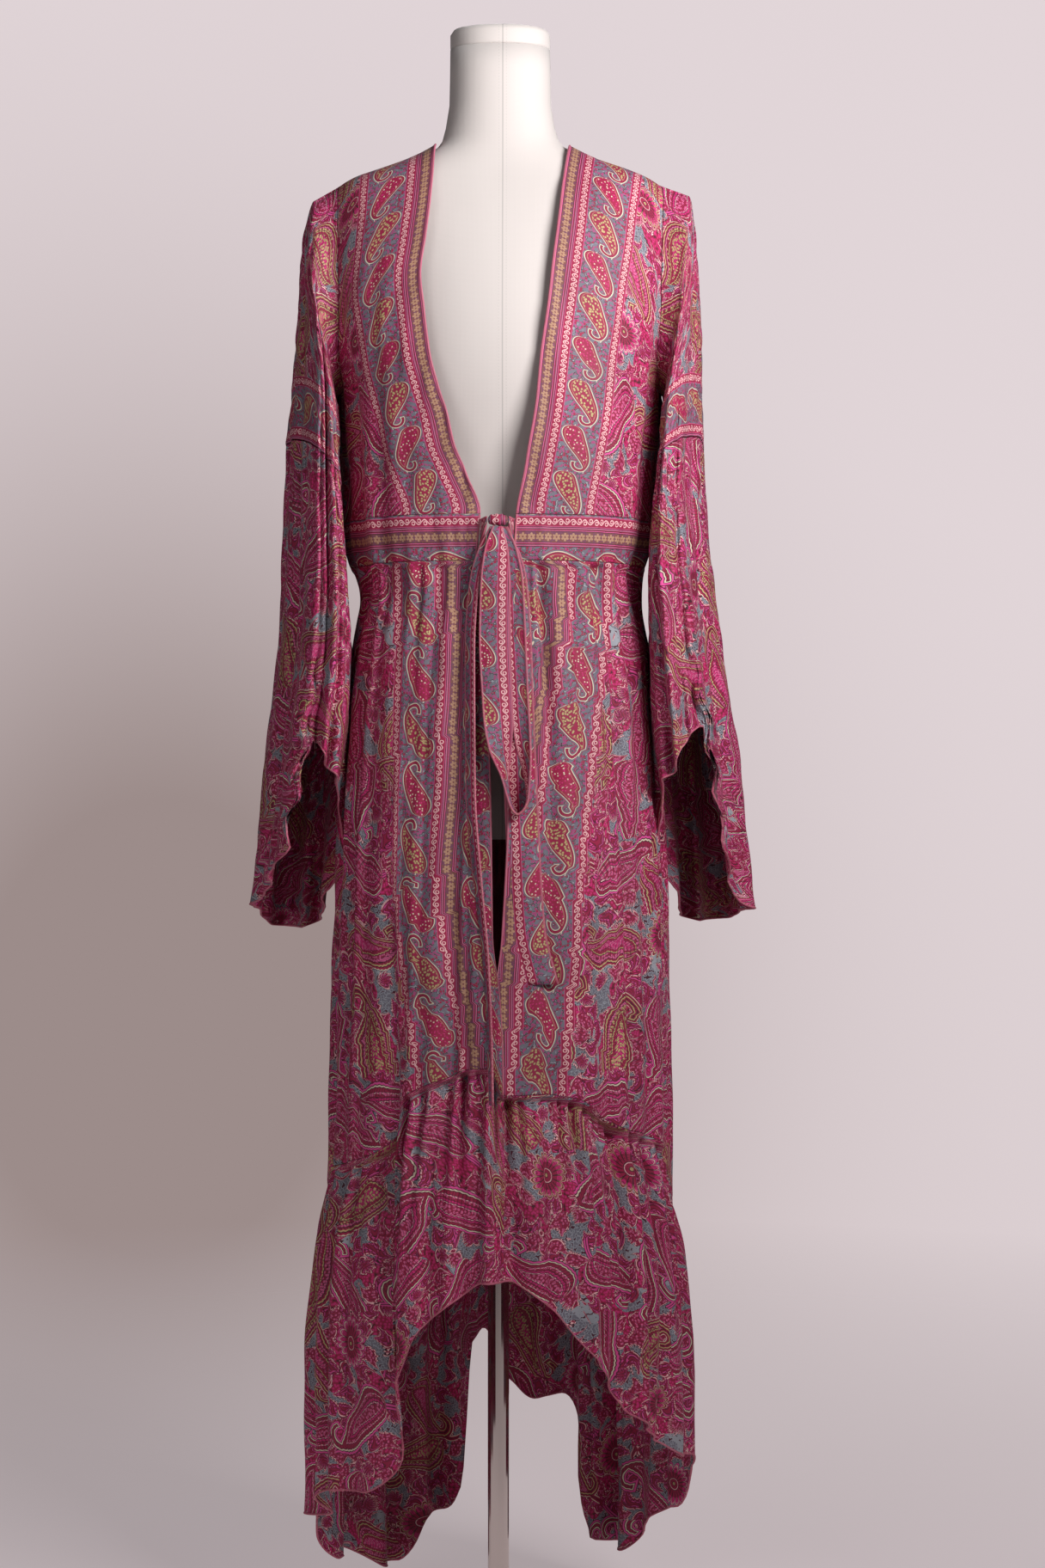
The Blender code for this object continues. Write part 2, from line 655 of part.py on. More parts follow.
def bodice_back(finish):
    """The back of the bodice in one piece, up to the back of the neck."""
    spread, down = outer_edge()
    along = (SHOULDER_TIP - down) / (SHOULDER_TIP - down[-1])
    outside = np.pi / 2 + spread + seam_angle(down)
    across = np.linspace(0, 1, BACK_COLUMNS + 1)
    near = np.minimum(across, 1 - across)
    seam = np.clip(near / SHOULDER_SHARE, 0, 1)
    neck = np.clip((near - SHOULDER_SHARE) / (0.5 - SHOULDER_SHARE), 0, 1)
    top = SHOULDER_TIP + (NECK_POINT - SHOULDER_TIP) * seam
    top = top + (BACK_NECK - NECK_POINT) * smooth_step(1.6 * neck)
    around = np.pi / 2 + seam_angle(top) + (np.pi / 2 - seam_angle(top)) * neck
    around = np.where(across < 0.5, around, 2 * np.pi - around)
    waist = np.linspace(outside[-1], 2 * np.pi - outside[-1], BACK_COLUMNS + 1)
    angle, height = patch(
        (outside, down),
        (2 * np.pi - outside, down),
        (around, top),
        (waist, 0 * waist + down[-1]),
        along,
    )
    wall("bodice_back", finish, robe_point, angle, height)


def around_band(side):
    """Where a lower piece starts and ends around the robe, as functions of height."""
    if side == "left":
        return lambda z: -np.pi / 2 + seam_angle(z), lambda z: edge_angle("left", z)
    if side == "right":
        return lambda z: edge_angle("right", z), lambda z: np.pi / 2 - seam_angle(z)
    return lambda z: np.pi / 2 + seam_angle(z), lambda z: 3 * np.pi / 2 - seam_angle(z)


def lower_piece(name, finish, side, top, bottom, columns, rows):
    """A piece of waistband, skirt or flounce between two heights that change around the robe."""
    start, end = around_band(side)
    u, v = grid(columns, rows)
    height = np.full(u.shape, (np.max(top(0.0)) + np.max(bottom(0.0))) / 2)
    for _ in range(4):
        angle = start(height) + (end(height) - start(height)) * u
        degrees = wrapped(np.degrees(angle))
        height = top(degrees) + (bottom(degrees) - top(degrees)) * v
    return wall(name, finish, robe_point, angle, height)


def level(height):
    return lambda degrees: height + 0 * np.asarray(degrees, float)


def lower_robe(finish):
    """The waistband, skirt and flounce: two fronts and a back each."""
    band = (level(WAIST_TOP - SEAM / 2), level(WAIST_BOTTOM + SEAM / 2))
    skirt = (level(WAIST_BOTTOM - SEAM / 2), lambda d: AROUND("seam", d) + SEAM / 2)
    flounce = (lambda d: AROUND("seam", d) - SEAM / 2, lambda d: AROUND("hem", d))
    for side in ("left", "right"):
        lower_piece(f"waistband_{side}", finish, side, *band, BAND_COLUMNS, 2)
        lower_piece(f"skirt_front_{side}", finish, side, *skirt, SKIRT_COLUMNS, SKIRT_ROWS)
        lower_piece(f"flounce_front_{side}", finish, side, *flounce, SKIRT_COLUMNS, FLOUNCE_ROWS)
    lower_piece("waistband_back", finish, "back", *band, 2 * BAND_COLUMNS, 2)
    lower_piece("skirt_back", finish, "back", *skirt, SKIRT_BACK_COLUMNS, SKIRT_ROWS)
    lower_piece("flounce_back", finish, "back", *flounce, SKIRT_BACK_COLUMNS, FLOUNCE_ROWS)


def armhole_ring(sign, turn):
    """The sleeve's first ring, just inside the armhole's edge and outside the bodice."""
    middle = (SHOULDER_TIP + UNDERARM) / 2
    half = (SHOULDER_TIP - UNDERARM) / 2 - ARMHOLE_INSET
    height = middle + half * np.sin(turn)
    spread = (ARMHOLE_SPREAD - ARMHOLE_INSET / 0.18) * np.cos(turn)
    angle = sign * (np.pi / 2 - spread)
    out = normals(robe_point, angle, height)
    out = out * np.where(out[..., :1] * sign > 0, 1, -1)
    return robe_point(angle, height) + out * (CLOTH / 2 + ARMHOLE_GAP)


def swung(inner, outer, swing, turn):
    """Distance to the side around an oval with a known outline, whose front swings in."""
    half = np.sqrt(((outer - inner) / 2) ** 2 - swing ** 2)
    return (inner + outer) / 2 + half * np.sin(turn) - swing * np.cos(turn)


def sleeve_ring(side, sign, turn, station):
    """Upper sleeve: an oval between the underarm line and the outer line."""
    table = SLEEVE[side]
    low = table("inner_height", station)
    high = table("outer_height", station)
    x = swung(table("inner", station), table("outer", station), table("swing", station), turn)
    y = -table("depth", station) * np.cos(turn)
    z = low + (high - low) * (1 + np.sin(turn)) / 2
    return np.stack([sign * x, y, z], axis=-1)


def bell_outline(side, sign, turn, height):
    """Bell of the sleeve: an oval that widens downwards."""
    table = BELL[side]
    x = swung(table("inner", height), table("outer", height), table("swing", height), turn)
    y = -table("depth", height) * np.cos(turn)
    return np.stack([sign * x, y, height + 0 * x], axis=-1)


def towards_middle(points, centre):
    """Level directions from points to the middle line of the sleeve."""
    away = centre - points
    away[..., 2] = 0
    return away / np.linalg.norm(away, axis=-1, keepdims=True)


def sleeve_point(side, turn, station):
    """Middle of the sleeve's cloth: stations 0 to 1 are the upper sleeve and 1 to 2 the bell."""
    sign = -1 if side == "left" else 1
    degrees = np.degrees(turn) % 360
    upper = np.clip(station, 0, 1)
    own = sleeve_ring(side, sign, turn, np.maximum(upper, CAP_STATION))
    blend = 1 - np.clip(1 - upper / CAP_STATION, 0, 1)[..., None] ** 2
    ring = armhole_ring(sign, turn) * (1 - blend) + own * blend
    front = sleeve_ring(side, sign, 0 * turn, upper)
    centre = (front + sleeve_ring(side, sign, 0 * turn + np.pi, upper)) / 2
    fold = 0.0
    for angle, width, depth in SLEEVE_FOLDS:
        away = wrapped(degrees - angle) / width
        fold = fold + depth * np.exp(-away * away)
    fold = fold * smooth_step(upper * 1.3)
    down = np.clip(station - 1, 0, 1)
    seam = sleeve_ring(side, sign, turn, 0 * station + 1)
    height = seam[..., 2] + (CUFF[side]("hem", degrees) - seam[..., 2]) * down
    bell = bell_outline(side, sign, turn, height)
    step = seam - bell_outline(side, sign, turn, seam[..., 2])
    bell = bell + step * (1 - smooth_step(down / 0.25))[..., None]
    phase = BELL_WAVES * turn + 1.0 * np.sin(2 * turn + 0.8) + 0.5 * np.sin(3 * turn)
    wave = BELL_WAVE_DEPTH * (1 + 0.3 * np.sin(2 * turn)) * (1 - np.cos(phase)) * down ** 0.8
    front = bell_outline(side, sign, 0 * turn, height)
    middle = (front + bell_outline(side, sign, 0 * turn + np.pi, height)) / 2
    is_bell = (station > 1)[..., None]
    points = np.where(is_bell, bell, ring)
    centre = np.where(is_bell, middle, centre)
    depth = fold + wave
    return points + towards_middle(points, centre) * depth[..., None]


def sleeves(finish):
    """Each sleeve is an upper tube with a puffed cap, and a bell gathered onto it."""
    for side in ("left", "right"):
        turns = np.arange(SLEEVE_SIDES) * 2 * np.pi / SLEEVE_SIDES
        place = lambda a, b, side=side: sleeve_point(side, a, b)
        upper = (1 - SEAM_STATIONS) * np.linspace(0, 1, SLEEVE_ROWS + 1) ** CAP_CROWDING
        bell = np.linspace(1 + SEAM_STATIONS, 2, BELL_ROWS + 1)
        for name, stations in (("sleeve", upper), ("sleeve_bell", bell)):
            turn, station = np.meshgrid(turns, stations)
            wall(f"{name}_{side}", finish, place, turn, station, closed=True)


def front_depth(x, height):
    """How far the robe's front lies in front of the middle at a distance to the side."""
    half = np.where(x < 0, ROBE("left", height), ROBE("right", height))
    inside = np.clip(np.abs(x) / half, 0, 0.999)
    return ROBE("front", height) * (1 - inside ** SQUARENESS) ** (1 / SQUARENESS)


def strip_point(path, across, along):
    """Middle of a tie: a strip on a path of x, height, distance out, width and swing."""
    x = path("x", along)
    height = path("height", along)
    width = path("width", along)
    swing = np.radians(path("swing", along))
    share = across - 0.5
    px = x + width * share * np.cos(swing)
    py = -(front_depth(x, height) + path("out", along)) + width * share * np.sin(swing)
    return np.stack([px, py, height + 0 * share], axis=-1)


def ties(finish):
    """The loop and the two tails of the bow."""
    strips = [(name, path, TIE_ROWS) for name, path in TIES.items()] + [("tie_loop", LOOP, LOOP_ROWS)]
    for name, path, rows in strips:
        shares = np.linspace(0, path.rows[-1, 0], rows + 1)
        across, along = np.meshgrid(np.linspace(0, 1, 3), shares)
        wall(name, finish, lambda a, b, path=path: strip_point(path, a, b), across, along)


def knot(finish):
    """The knot: a small rounded wrap of cloth."""
    x, height = KNOT_PLACE
    wide, deep, tall = KNOT_SIZE
    y = -(float(front_depth(x, height)) + KNOT_OUT)
    rings = []
    for share in np.sin(np.linspace(-0.45, 0.45, KNOT_RINGS) * np.pi):
        turn = np.arange(KNOT_SIDES) * 2 * np.pi / KNOT_SIDES
        size = (1 - abs(share) ** KNOT_ROUNDNESS) ** (1 / KNOT_ROUNDNESS)
        px = x + wide * share + 0 * turn
        py = y + deep * size * np.cos(turn)
        pz = height + tall * size * np.sin(turn)
        rings.append(np.stack([px, py, pz], axis=-1))
    solid("tie_knot", finish, rings)


def root_point(side, across, along):
    """Middle of a tie's root, which draws the end of the waistband together to the knot."""
    sign = -1 if side == "left" else 1
    x, height = KNOT_PLACE
    tall = (WAIST_TOP - WAIST_BOTTOM) * ROOT_SHARE
    band = (WAIST_TOP + WAIST_BOTTOM) / 2
    start = FRONT_EDGE(side, band + tall * (across - 0.5)) - sign * 2 * SEAM
    end = x + sign * (KNOT_SIZE[0] + ROOT_GAP)
    px = start + (end - start) * along
    taper = 1 - along
    pz = band + (height - band) * along + (tall * taper + ROOT_END * (1 - taper)) * (across - 0.5)
    py = -front_depth(px, pz) - KNOT_OUT * smooth_step(along)
    return np.stack([px, py, pz], axis=-1)


def tie_roots(finish):
    for side in ("left", "right"):
        across, along = grid(6, ROOT_ROWS)
        place = lambda a, b, side=side: root_point(side, a, b)
        wall(f"tie_root_{side}", finish, place, across, along)


def round_ring(radius, height, sides, middle=0.0):
    turn = np.arange(sides) * 2 * np.pi / sides
    x = middle + radius * np.cos(turn)
    return np.stack([x, radius * np.sin(turn), 0 * turn + height], axis=-1)


def lean(points):
    """Tip the top of the neck forward, more towards the plate."""
    share = smooth_step((points[..., 2] - 1.615) / (NECK_TOP - 1.615))
    points[..., 2] = points[..., 2] + math.tan(CAP_TILT) * points[..., 1] * share
    return points


def form_ring(height, sides, inset=0.0):
    turn = np.arange(sides) * 2 * np.pi / sides
    return section_point(FORM, turn, height + 0 * turn, -inset)


def stand(linen, chrome):
    """The limbless form, its neck plate, the pole and the base plate."""
    solid("form_torso", linen, [lean(form_ring(z, FORM_SIDES)) for z in FORM_HEIGHTS])
    plate = []
    edge = 0.006
    thick = CAP_TOP - NECK_TOP - SEAM
    for share, inset in ((0.0, 0.0006), (0.10, 0.0), (0.70, 0.0), (0.90, 0.003), (1.0, 2 * edge)):
        ring = form_ring(NECK_TOP, CAP_SIDES, inset)
        ring[..., 2] += SEAM + thick * share
        ring[..., 2] += math.tan(CAP_TILT) * ring[..., 1]
        plate.append(ring)
    solid("form_cap", linen, plate)
    top = FORM_BOTTOM - SEAM
    low = BASE_HEIGHT + SEAM
    pole = [round_ring(POLE_RADIUS, z, POLE_SIDES, POLE_OFFSET) for z in (low, top)]
    solid("stand_pole", chrome, pole)
    base = [
        round_ring(BASE_RADIUS, 0.0, BASE_SIDES),
        round_ring(BASE_RADIUS, BASE_HEIGHT - 0.003, BASE_SIDES),
        round_ring(BASE_RADIUS - 0.0015, BASE_HEIGHT - 0.0008, BASE_SIDES),
        round_ring(BASE_RADIUS - 0.004, BASE_HEIGHT, BASE_SIDES),
    ]
    solid("stand_base", chrome, base)


def main():
    clear_scene()
    cloth = material("printed_crepe", (0.36, 0.08, 0.16), 0.75)
    linen = material("form_linen", (0.80, 0.78, 0.75), 0.85)
    chrome = material("chrome", (0.78, 0.78, 0.80), 0.12, 1.0)
    stand(linen, chrome)
    for side in ("left", "right"):
        bodice_front(side, cloth)
    bodice_back(cloth)
    lower_robe(cloth)
    sleeves(cloth)
    knot(cloth)
    tie_roots(cloth)
    ties(cloth)


main()
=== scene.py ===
"""The looks of the kimono robe on its dress form stand.

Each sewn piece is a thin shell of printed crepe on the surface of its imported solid, with gathers, soft
creases and rolled hems. Units are metres, +Z is up, the front faces -Y, and left and right are as seen
from the front, so +X is right. The print's sizes are in millimetres.
"""

import functools
import math

import bmesh
import bpy
import mathutils
import numpy as np
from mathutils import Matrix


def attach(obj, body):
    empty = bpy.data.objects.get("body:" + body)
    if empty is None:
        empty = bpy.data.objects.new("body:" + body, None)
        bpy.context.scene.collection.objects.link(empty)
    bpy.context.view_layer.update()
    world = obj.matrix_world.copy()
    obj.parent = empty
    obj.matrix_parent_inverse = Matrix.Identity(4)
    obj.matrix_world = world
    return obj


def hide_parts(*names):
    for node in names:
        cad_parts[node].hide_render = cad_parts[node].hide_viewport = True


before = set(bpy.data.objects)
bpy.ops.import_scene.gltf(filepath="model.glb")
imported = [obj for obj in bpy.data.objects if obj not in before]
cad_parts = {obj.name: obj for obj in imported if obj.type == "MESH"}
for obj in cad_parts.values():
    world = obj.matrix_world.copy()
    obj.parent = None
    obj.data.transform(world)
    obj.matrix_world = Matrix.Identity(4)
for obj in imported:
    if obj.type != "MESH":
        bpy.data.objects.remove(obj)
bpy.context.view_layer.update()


class Table:
    """Rows of named columns, read smoothly between the rows by the first column."""

    def __init__(self, columns, *rows):
        self.columns = columns.split()
        self.rows = np.array(rows, float)

    def __call__(self, column, key):
        keys = self.rows[:, 0]
        values = self.rows[:, self.columns.index(column)]
        steps = np.diff(keys)
        rises = np.diff(values) / steps
        slopes = np.zeros(len(keys))
        slopes[0] = rises[0]
        slopes[-1] = rises[-1]
        for k in range(1, len(keys) - 1):
            if rises[k - 1] * rises[k] > 0:
                slopes[k] = 2 * rises[k - 1] * rises[k] / (rises[k - 1] + rises[k])
        at = np.clip(key, keys[0], keys[-1])
        k = np.clip(np.searchsorted(keys, at, side="right") - 1, 0, len(keys) - 2)
        t = (at - keys[k]) / steps[k]
        start = (1 + 2 * t) * (1 - t) ** 2 * values[k]
        leave = t * (1 - t) ** 2 * steps[k] * slopes[k]
        end = t * t * (3 - 2 * t) * values[k + 1]
        arrive = t * t * (t - 1) * steps[k] * slopes[k + 1]
        return start + leave + end + arrive


SIGNS = {"left": -1, "right": 1}  # which way a side lies along X

# The robe's cut and how it lies on the form
SEAM = 0.0004  # gap between two pieces that are sewn together
SQUARENESS = 2.3  # 2 is an oval section, more is squarer
WAIST_TOP = 1.1890  # upper edge of the waistband
WAIST_BOTTOM = 1.1410  # lower edge of the waistband
UNDERARM = 1.3300  # lowest point of the armhole
SHOULDER_TIP = 1.5555  # highest point of the armhole
SHOULDER_SHARE = 0.28  # share of the back's top edge that is one shoulder seam
NECK_POINT = 1.5920  # where the shoulder seam meets the neckline
BACK_NECK = 1.6100  # top of the back of the neckline
NECK_RISE = 1.6  # how soon the back's neckline reaches that height
ARMHOLE_SPREAD = math.radians(17.5)
# How far the cloth lies above the form's shoulders, and to their left, right, front and back
REST = (0.0012, 0.0030, 0.0030, 0.0034, 0.0110)
FRONT_EASE = 0.0072  # how far it bridges above the form in front of the shoulder seam
BACK_EASE = 0.0120  # and behind it
EASE_SOFTNESS = 0.10  # how gently the two meet over the shoulder seam
EASE_START = 1.500
EASE_REACH = 0.045

# The robe's sections: half widths and depths from the pole's line.
ROBE = Table(
    "height left right front back",
    (0.380, 0.183, 0.181, 0.157, 0.158),
    (0.547, 0.180, 0.179, 0.151, 0.153),
    (0.687, 0.176, 0.177, 0.146, 0.150),
    (0.826, 0.172, 0.173, 0.139, 0.147),
    (0.966, 0.164, 0.164, 0.130, 0.140),
    (1.050, 0.154, 0.156, 0.122, 0.129),
    (1.095, 0.150, 0.151, 0.118, 0.118),
    (1.141, 0.163, 0.156, 0.115, 0.110),
    (1.165, 0.168, 0.163, 0.115, 0.108),
    (1.189, 0.169, 0.165, 0.115, 0.107),
    (1.237, 0.169, 0.167, 0.119, 0.107),
    (1.267, 0.171, 0.169, 0.122, 0.109),
    (1.300, 0.172, 0.171, 0.124, 0.111),
    (1.330, 0.173, 0.172, 0.125, 0.112),
    (1.380, 0.180, 0.178, 0.125, 0.111),
    (1.430, 0.185, 0.184, 0.120, 0.109),
    (1.470, 0.187, 0.187, 0.111, 0.107),
    (1.500, 0.187, 0.187, 0.101, 0.104),
    (1.530, 0.183, 0.184, 0.086, 0.097),
)
# The form's shoulders. The cloth rests on them, above the sections.
SHOULDERS = Table(
    "height left right front back",
    (1.546, 0.174, 0.174, 0.071, 0.084),
    (1.556, 0.160, 0.161, 0.067, 0.080),
    (1.564, 0.136, 0.142, 0.064, 0.076),
    (1.573, 0.108, 0.113, 0.062, 0.072),
    (1.582, 0.086, 0.091, 0.060, 0.068),
    (1.591, 0.070, 0.073, 0.059, 0.065),
    (1.600, 0.063, 0.064, 0.058, 0.062),
    (1.615, 0.059, 0.059, 0.056, 0.059),
    (1.640, 0.055, 0.055, 0.054, 0.056),
    (1.700, 0.054, 0.054, 0.053, 0.055),
)
ROBE.rows = np.concatenate([ROBE.rows, SHOULDERS.rows + REST])

# The two front edges, as distances from the middle. Low down the left front laps over the right one.
FRONT_EDGE = Table(
    "height left right",
    (0.300, 0.0040, -0.0060),
    (0.620, 0.0045, -0.0055),
    (0.690, 0.0010, -0.0040),
    (0.750, -0.0060, 0.0020),
    (0.900, -0.0080, 0.0080),
    (1.050, -0.0150, 0.0080),
    (1.141, -0.0230, 0.0140),
    (1.190, -0.0200, 0.0170),
    (1.235, -0.0360, 0.0255),
    (1.260, -0.0460, 0.0295),
    (1.293, -0.0535, 0.0355),
    (1.315, -0.0610, 0.0385),
    (1.362, -0.0725, 0.0430),
    (1.402, -0.0780, 0.0485),
    (1.441, -0.0815, 0.0535),
    (1.482, -0.0765, 0.0585),
    (1.528, -0.0715, 0.0645),
    (1.560, -0.0695, 0.0690),
    (1.592, -0.0685, 0.0740),
)
LAP_OUT = 0.0030  # the left front lies this far outside the right one
LAP_TOP = 0.760
LAP_RISE = 0.06
LAP_START = -9.0  # degrees from the middle
LAP_SOFTNESS = 5.0

# Around the robe: the height of the flounce's seam and of its hem, and the depth of its waves.
# The angle runs from -180 at the middle of the back, over the left side, the front and the right.
AROUND = Table(
    "angle seam hem wave",
    (-180, 0.460, 0.235, 0.007),
    (-174, 0.450, 0.285, 0.006),
    (-170, 0.440, 0.270, 0.006),
    (-166, 0.430, 0.110, 0.008),
    (-160, 0.415, 0.080, 0.010),
    (-151, 0.395, 0.075, 0.010),
    (-142, 0.380, 0.026, 0.010),
    (-128, 0.390, 0.030, 0.010),
    (-118, 0.405, 0.056, 0.009),
    (-108, 0.430, 0.054, 0.008),
    (-99, 0.455, 0.085, 0.006),
    (-92, 0.475, 0.118, 0.005),
    (-78, 0.497, 0.128, 0.009),
    (-66, 0.508, 0.165, 0.011),
    (-54, 0.520, 0.170, 0.012),
    (-47, 0.545, 0.205, 0.011),
    (-41, 0.578, 0.268, 0.010),
    (-34, 0.590, 0.296, 0.008),
    (-26, 0.600, 0.353, 0.008),
    (-13, 0.614, 0.384, 0.007),
    (-4, 0.616, 0.400, 0.004),
    (2, 0.588, 0.400, 0.004),
    (16, 0.589, 0.376, 0.006),
    (30, 0.583, 0.326, 0.007),
    (38, 0.568, 0.292, 0.008),
    (47, 0.551, 0.252, 0.007),
    (58, 0.542, 0.225, 0.007),
    (70, 0.528, 0.198, 0.006),
    (84, 0.487, 0.188, 0.005),
    (90, 0.455, 0.170, 0.005),
    (97, 0.430, 0.120, 0.006),
    (108, 0.410, 0.112, 0.008),
    (118, 0.395, 0.085, 0.009),
    (128, 0.385, 0.048, 0.010),
    (140, 0.385, 0.050, 0.010),
    (148, 0.395, 0.085, 0.009),
    (152, 0.405, 0.180, 0.008),
    (158, 0.420, 0.212, 0.008),
    (168, 0.445, 0.207, 0.008),
    (180, 0.460, 0.235, 0.007),
)

# How far the flounce stands out below its seam.
FLARE = Table(
    "drop out",
    (0.000, 0.000),
    (0.006, 0.0004),
    (0.025, 0.005),
    (0.060, 0.012),
    (0.120, 0.018),
    (0.200, 0.022),
    (0.360, 0.023),
)

# The deep soft folds of the skirt and flounce: angle, width, depth at the waist, thigh, seam and hem,
# and how far they lean sideways, in multiples of their depth.
DEEP_FOLDS = (
    (-20, 4.5, 0.005, 0.011, 0.010, 0.006, 0.4),
    (-31, 3.0, 0.003, 0.004, 0.004, 0.008, 0.0),
    (-38, 3.5, 0.003, 0.006, 0.006, 0.008, 0.0),
    (-47, 6.0, 0.003, 0.006, 0.016, 0.030, 0.9),
    (-57, 3.5, 0.005, 0.009, 0.009, 0.012, 0.0),
    (-66, 3.0, 0.004, 0.007, 0.008, 0.010, 0.0),
    (-77, 4.5, 0.005, 0.009, 0.010, 0.012, 0.0),
    (-104, 6.0, 0.003, 0.007, 0.009, 0.012, 0.0),
    (-126, 6.0, 0.004, 0.009, 0.012, 0.017, -0.4),
    (-146, 5.5, 0.004, 0.008, 0.011, 0.016, 0.0),
    (-164, 5.5, 0.004, 0.009, 0.012, 0.016, 0.4),
    (20, 4.5, 0.003, 0.004, 0.004, 0.004, 0.0),
    (41, 4.0, 0.003, 0.006, 0.010, 0.012, 0.0),
    (53, 3.0, 0.003, 0.005, 0.006, 0.008, 0.0),
    (62, 4.5, 0.004, 0.008, 0.010, 0.012, 0.0),
    (77, 4.5, 0.004, 0.008, 0.009, 0.011, 0.0),
    (103, 6.0, 0.003, 0.007, 0.010, 0.013, 0.0),
    (124, 6.0, 0.004, 0.009, 0.012, 0.017, 0.4),
    (149, 6.0, 0.004, 0.009, 0.013, 0.020, -0.4),
    (171, 5.5, 0.004, 0.008, 0.010, 0.013, 0.0),
)
THIGH = 0.850
LEAN_REACH = 0.15  # metres to the side for a radian around the robe

# The flounce's waves, and what makes them uneven: sizes, turns and phases of slow sways.
WAVES_AROUND = 21
WAVE_SWAYS = ((1.1, 2, 0.6), (0.9, 5, 2.0))
WAVE_UNEVENNESS = (0.35, 3, 1.2)
WAVE_AT_SEAM = 0.15  # share of the waves' depth by the seam
WAVE_START = 0.03  # they grow to that share over this distance

# The troughs where the bodice's fronts turn to its sides: angle, width and depth.
SIDE_FOLDS = ((-71, 6.5, 0.011), (-56, 3.5, 0.005), (-83, 4, 0.005), (74, 6.0, 0.008), (60, 3.5, 0.003))
SIDE_FOLD_LOW = 1.080
SIDE_FOLD_HIGH = 1.420
SIDE_FOLD_ENDS = (0.060, 0.120)  # how far they take to deepen from below and from above

# Below each armhole the back stands out in a soft fold.
ARM_FOLDS = (-102, 102)
ARM_FOLD_WIDTH = 6.5
ARM_FOLD_OUT = 0.013
ARM_FOLD_LOW = 1.195
ARM_FOLD_HIGH = 1.350
ARM_FOLD_ENDS = (0.030, 0.035)

# The sleeve as seen from the front: its inner and outer outline, the heights of the underarm line and
# of the outer line, half its depth, and how far its front swings in towards the robe.
# Station 0 is the armhole and 1 is the gathered seam.
SLEEVE = {
    "left": Table(
        "station inner inner_height outer outer_height depth swing",
        (0.00, 0.1735, 1.333, 0.1800, 1.5530, 0.052, 0.000),
        (0.06, 0.1765, 1.330, 0.1960, 1.5460, 0.058, 0.000),
        (0.12, 0.1772, 1.325, 0.2040, 1.5310, 0.061, 0.000),
        (0.20, 0.1772, 1.318, 0.2100, 1.5070, 0.064, 0.001),
        (0.30, 0.1750, 1.309, 0.2150, 1.4770, 0.067, 0.005),
        (0.45, 0.1730, 1.294, 0.2205, 1.4230, 0.071, 0.012),
        (0.60, 0.1715, 1.277, 0.2260, 1.3780, 0.075, 0.017),
        (0.80, 0.1710, 1.250, 0.2325, 1.3250, 0.080, 0.022),
        (1.00, 0.1680, 1.222, 0.2385, 1.2790, 0.086, 0.025),
    ),
    "right": Table(
        "station inner inner_height outer outer_height depth swing",
        (0.00, 0.1725, 1.333, 0.1810, 1.5530, 0.052, 0.000),
        (0.06, 0.1755, 1.330, 0.1990, 1.5500, 0.058, 0.000),
        (0.12, 0.1765, 1.325, 0.2055, 1.5370, 0.061, 0.000),
        (0.20, 0.1768, 1.318, 0.2090, 1.5100, 0.064, 0.001),
        (0.30, 0.1750, 1.309, 0.2125, 1.4760, 0.067, 0.005),
        (0.45, 0.1730, 1.294, 0.2180, 1.4210, 0.070, 0.011),
        (0.60, 0.1712, 1.280, 0.2215, 1.3760, 0.074, 0.016),
        (0.80, 0.1700, 1.262, 0.2245, 1.3220, 0.079, 0.020),
        (1.00, 0.1660, 1.243, 0.2265, 1.2820, 0.084, 0.022),
    ),
}
BELL = {
    "left": Table(
        "height inner outer depth swing",
        (0.740, 0.176, 0.2790, 0.114, 0.014),
        (0.850, 0.170, 0.2670, 0.112, 0.018),
        (0.950, 0.162, 0.2570, 0.109, 0.022),
        (1.050, 0.158, 0.2465, 0.103, 0.025),
        (1.130, 0.161, 0.2445, 0.098, 0.028),
        (1.220, 0.167, 0.2420, 0.090, 0.027),
        (1.280, 0.170, 0.2385, 0.086, 0.025),
    ),
    "right": Table(
        "height inner outer depth swing",
        (0.740, 0.176, 0.2770, 0.114, 0.014),
        (0.850, 0.170, 0.2660, 0.112, 0.018),
        (0.950, 0.162, 0.2575, 0.109, 0.021),
        (1.050, 0.159, 0.2445, 0.103, 0.024),
        (1.130, 0.157, 0.2375, 0.098, 0.026),
        (1.220, 0.161, 0.2300, 0.090, 0.025),
        (1.290, 0.166, 0.2260, 0.084, 0.022),
    ),
}
# Around a cuff: 0 is the front, 90 the outside, 180 the back and 270 the side against the robe.
CUFF = {
    "left": Table(
        "angle hem",
        (0, 0.950), (12, 0.953), (19, 0.925), (25, 0.868), (32, 0.835), (50, 0.815), (75, 0.792), (92, 0.777),
        (125, 0.770), (160, 0.750), (200, 0.748), (235, 0.762), (262, 0.790), (285, 0.850),
        (305, 0.900), (325, 0.915), (345, 0.930), (360, 0.950),
    ),
    "right": Table(
        "angle hem",
        (0, 0.945), (18, 0.962), (32, 0.968), (40, 0.930), (47, 0.872), (56, 0.835), (74, 0.798), (92, 0.773),
        (125, 0.768), (160, 0.758), (200, 0.756), (235, 0.765), (262, 0.800), (285, 0.850),
        (305, 0.890), (325, 0.912), (345, 0.922), (360, 0.945),
    ),
}
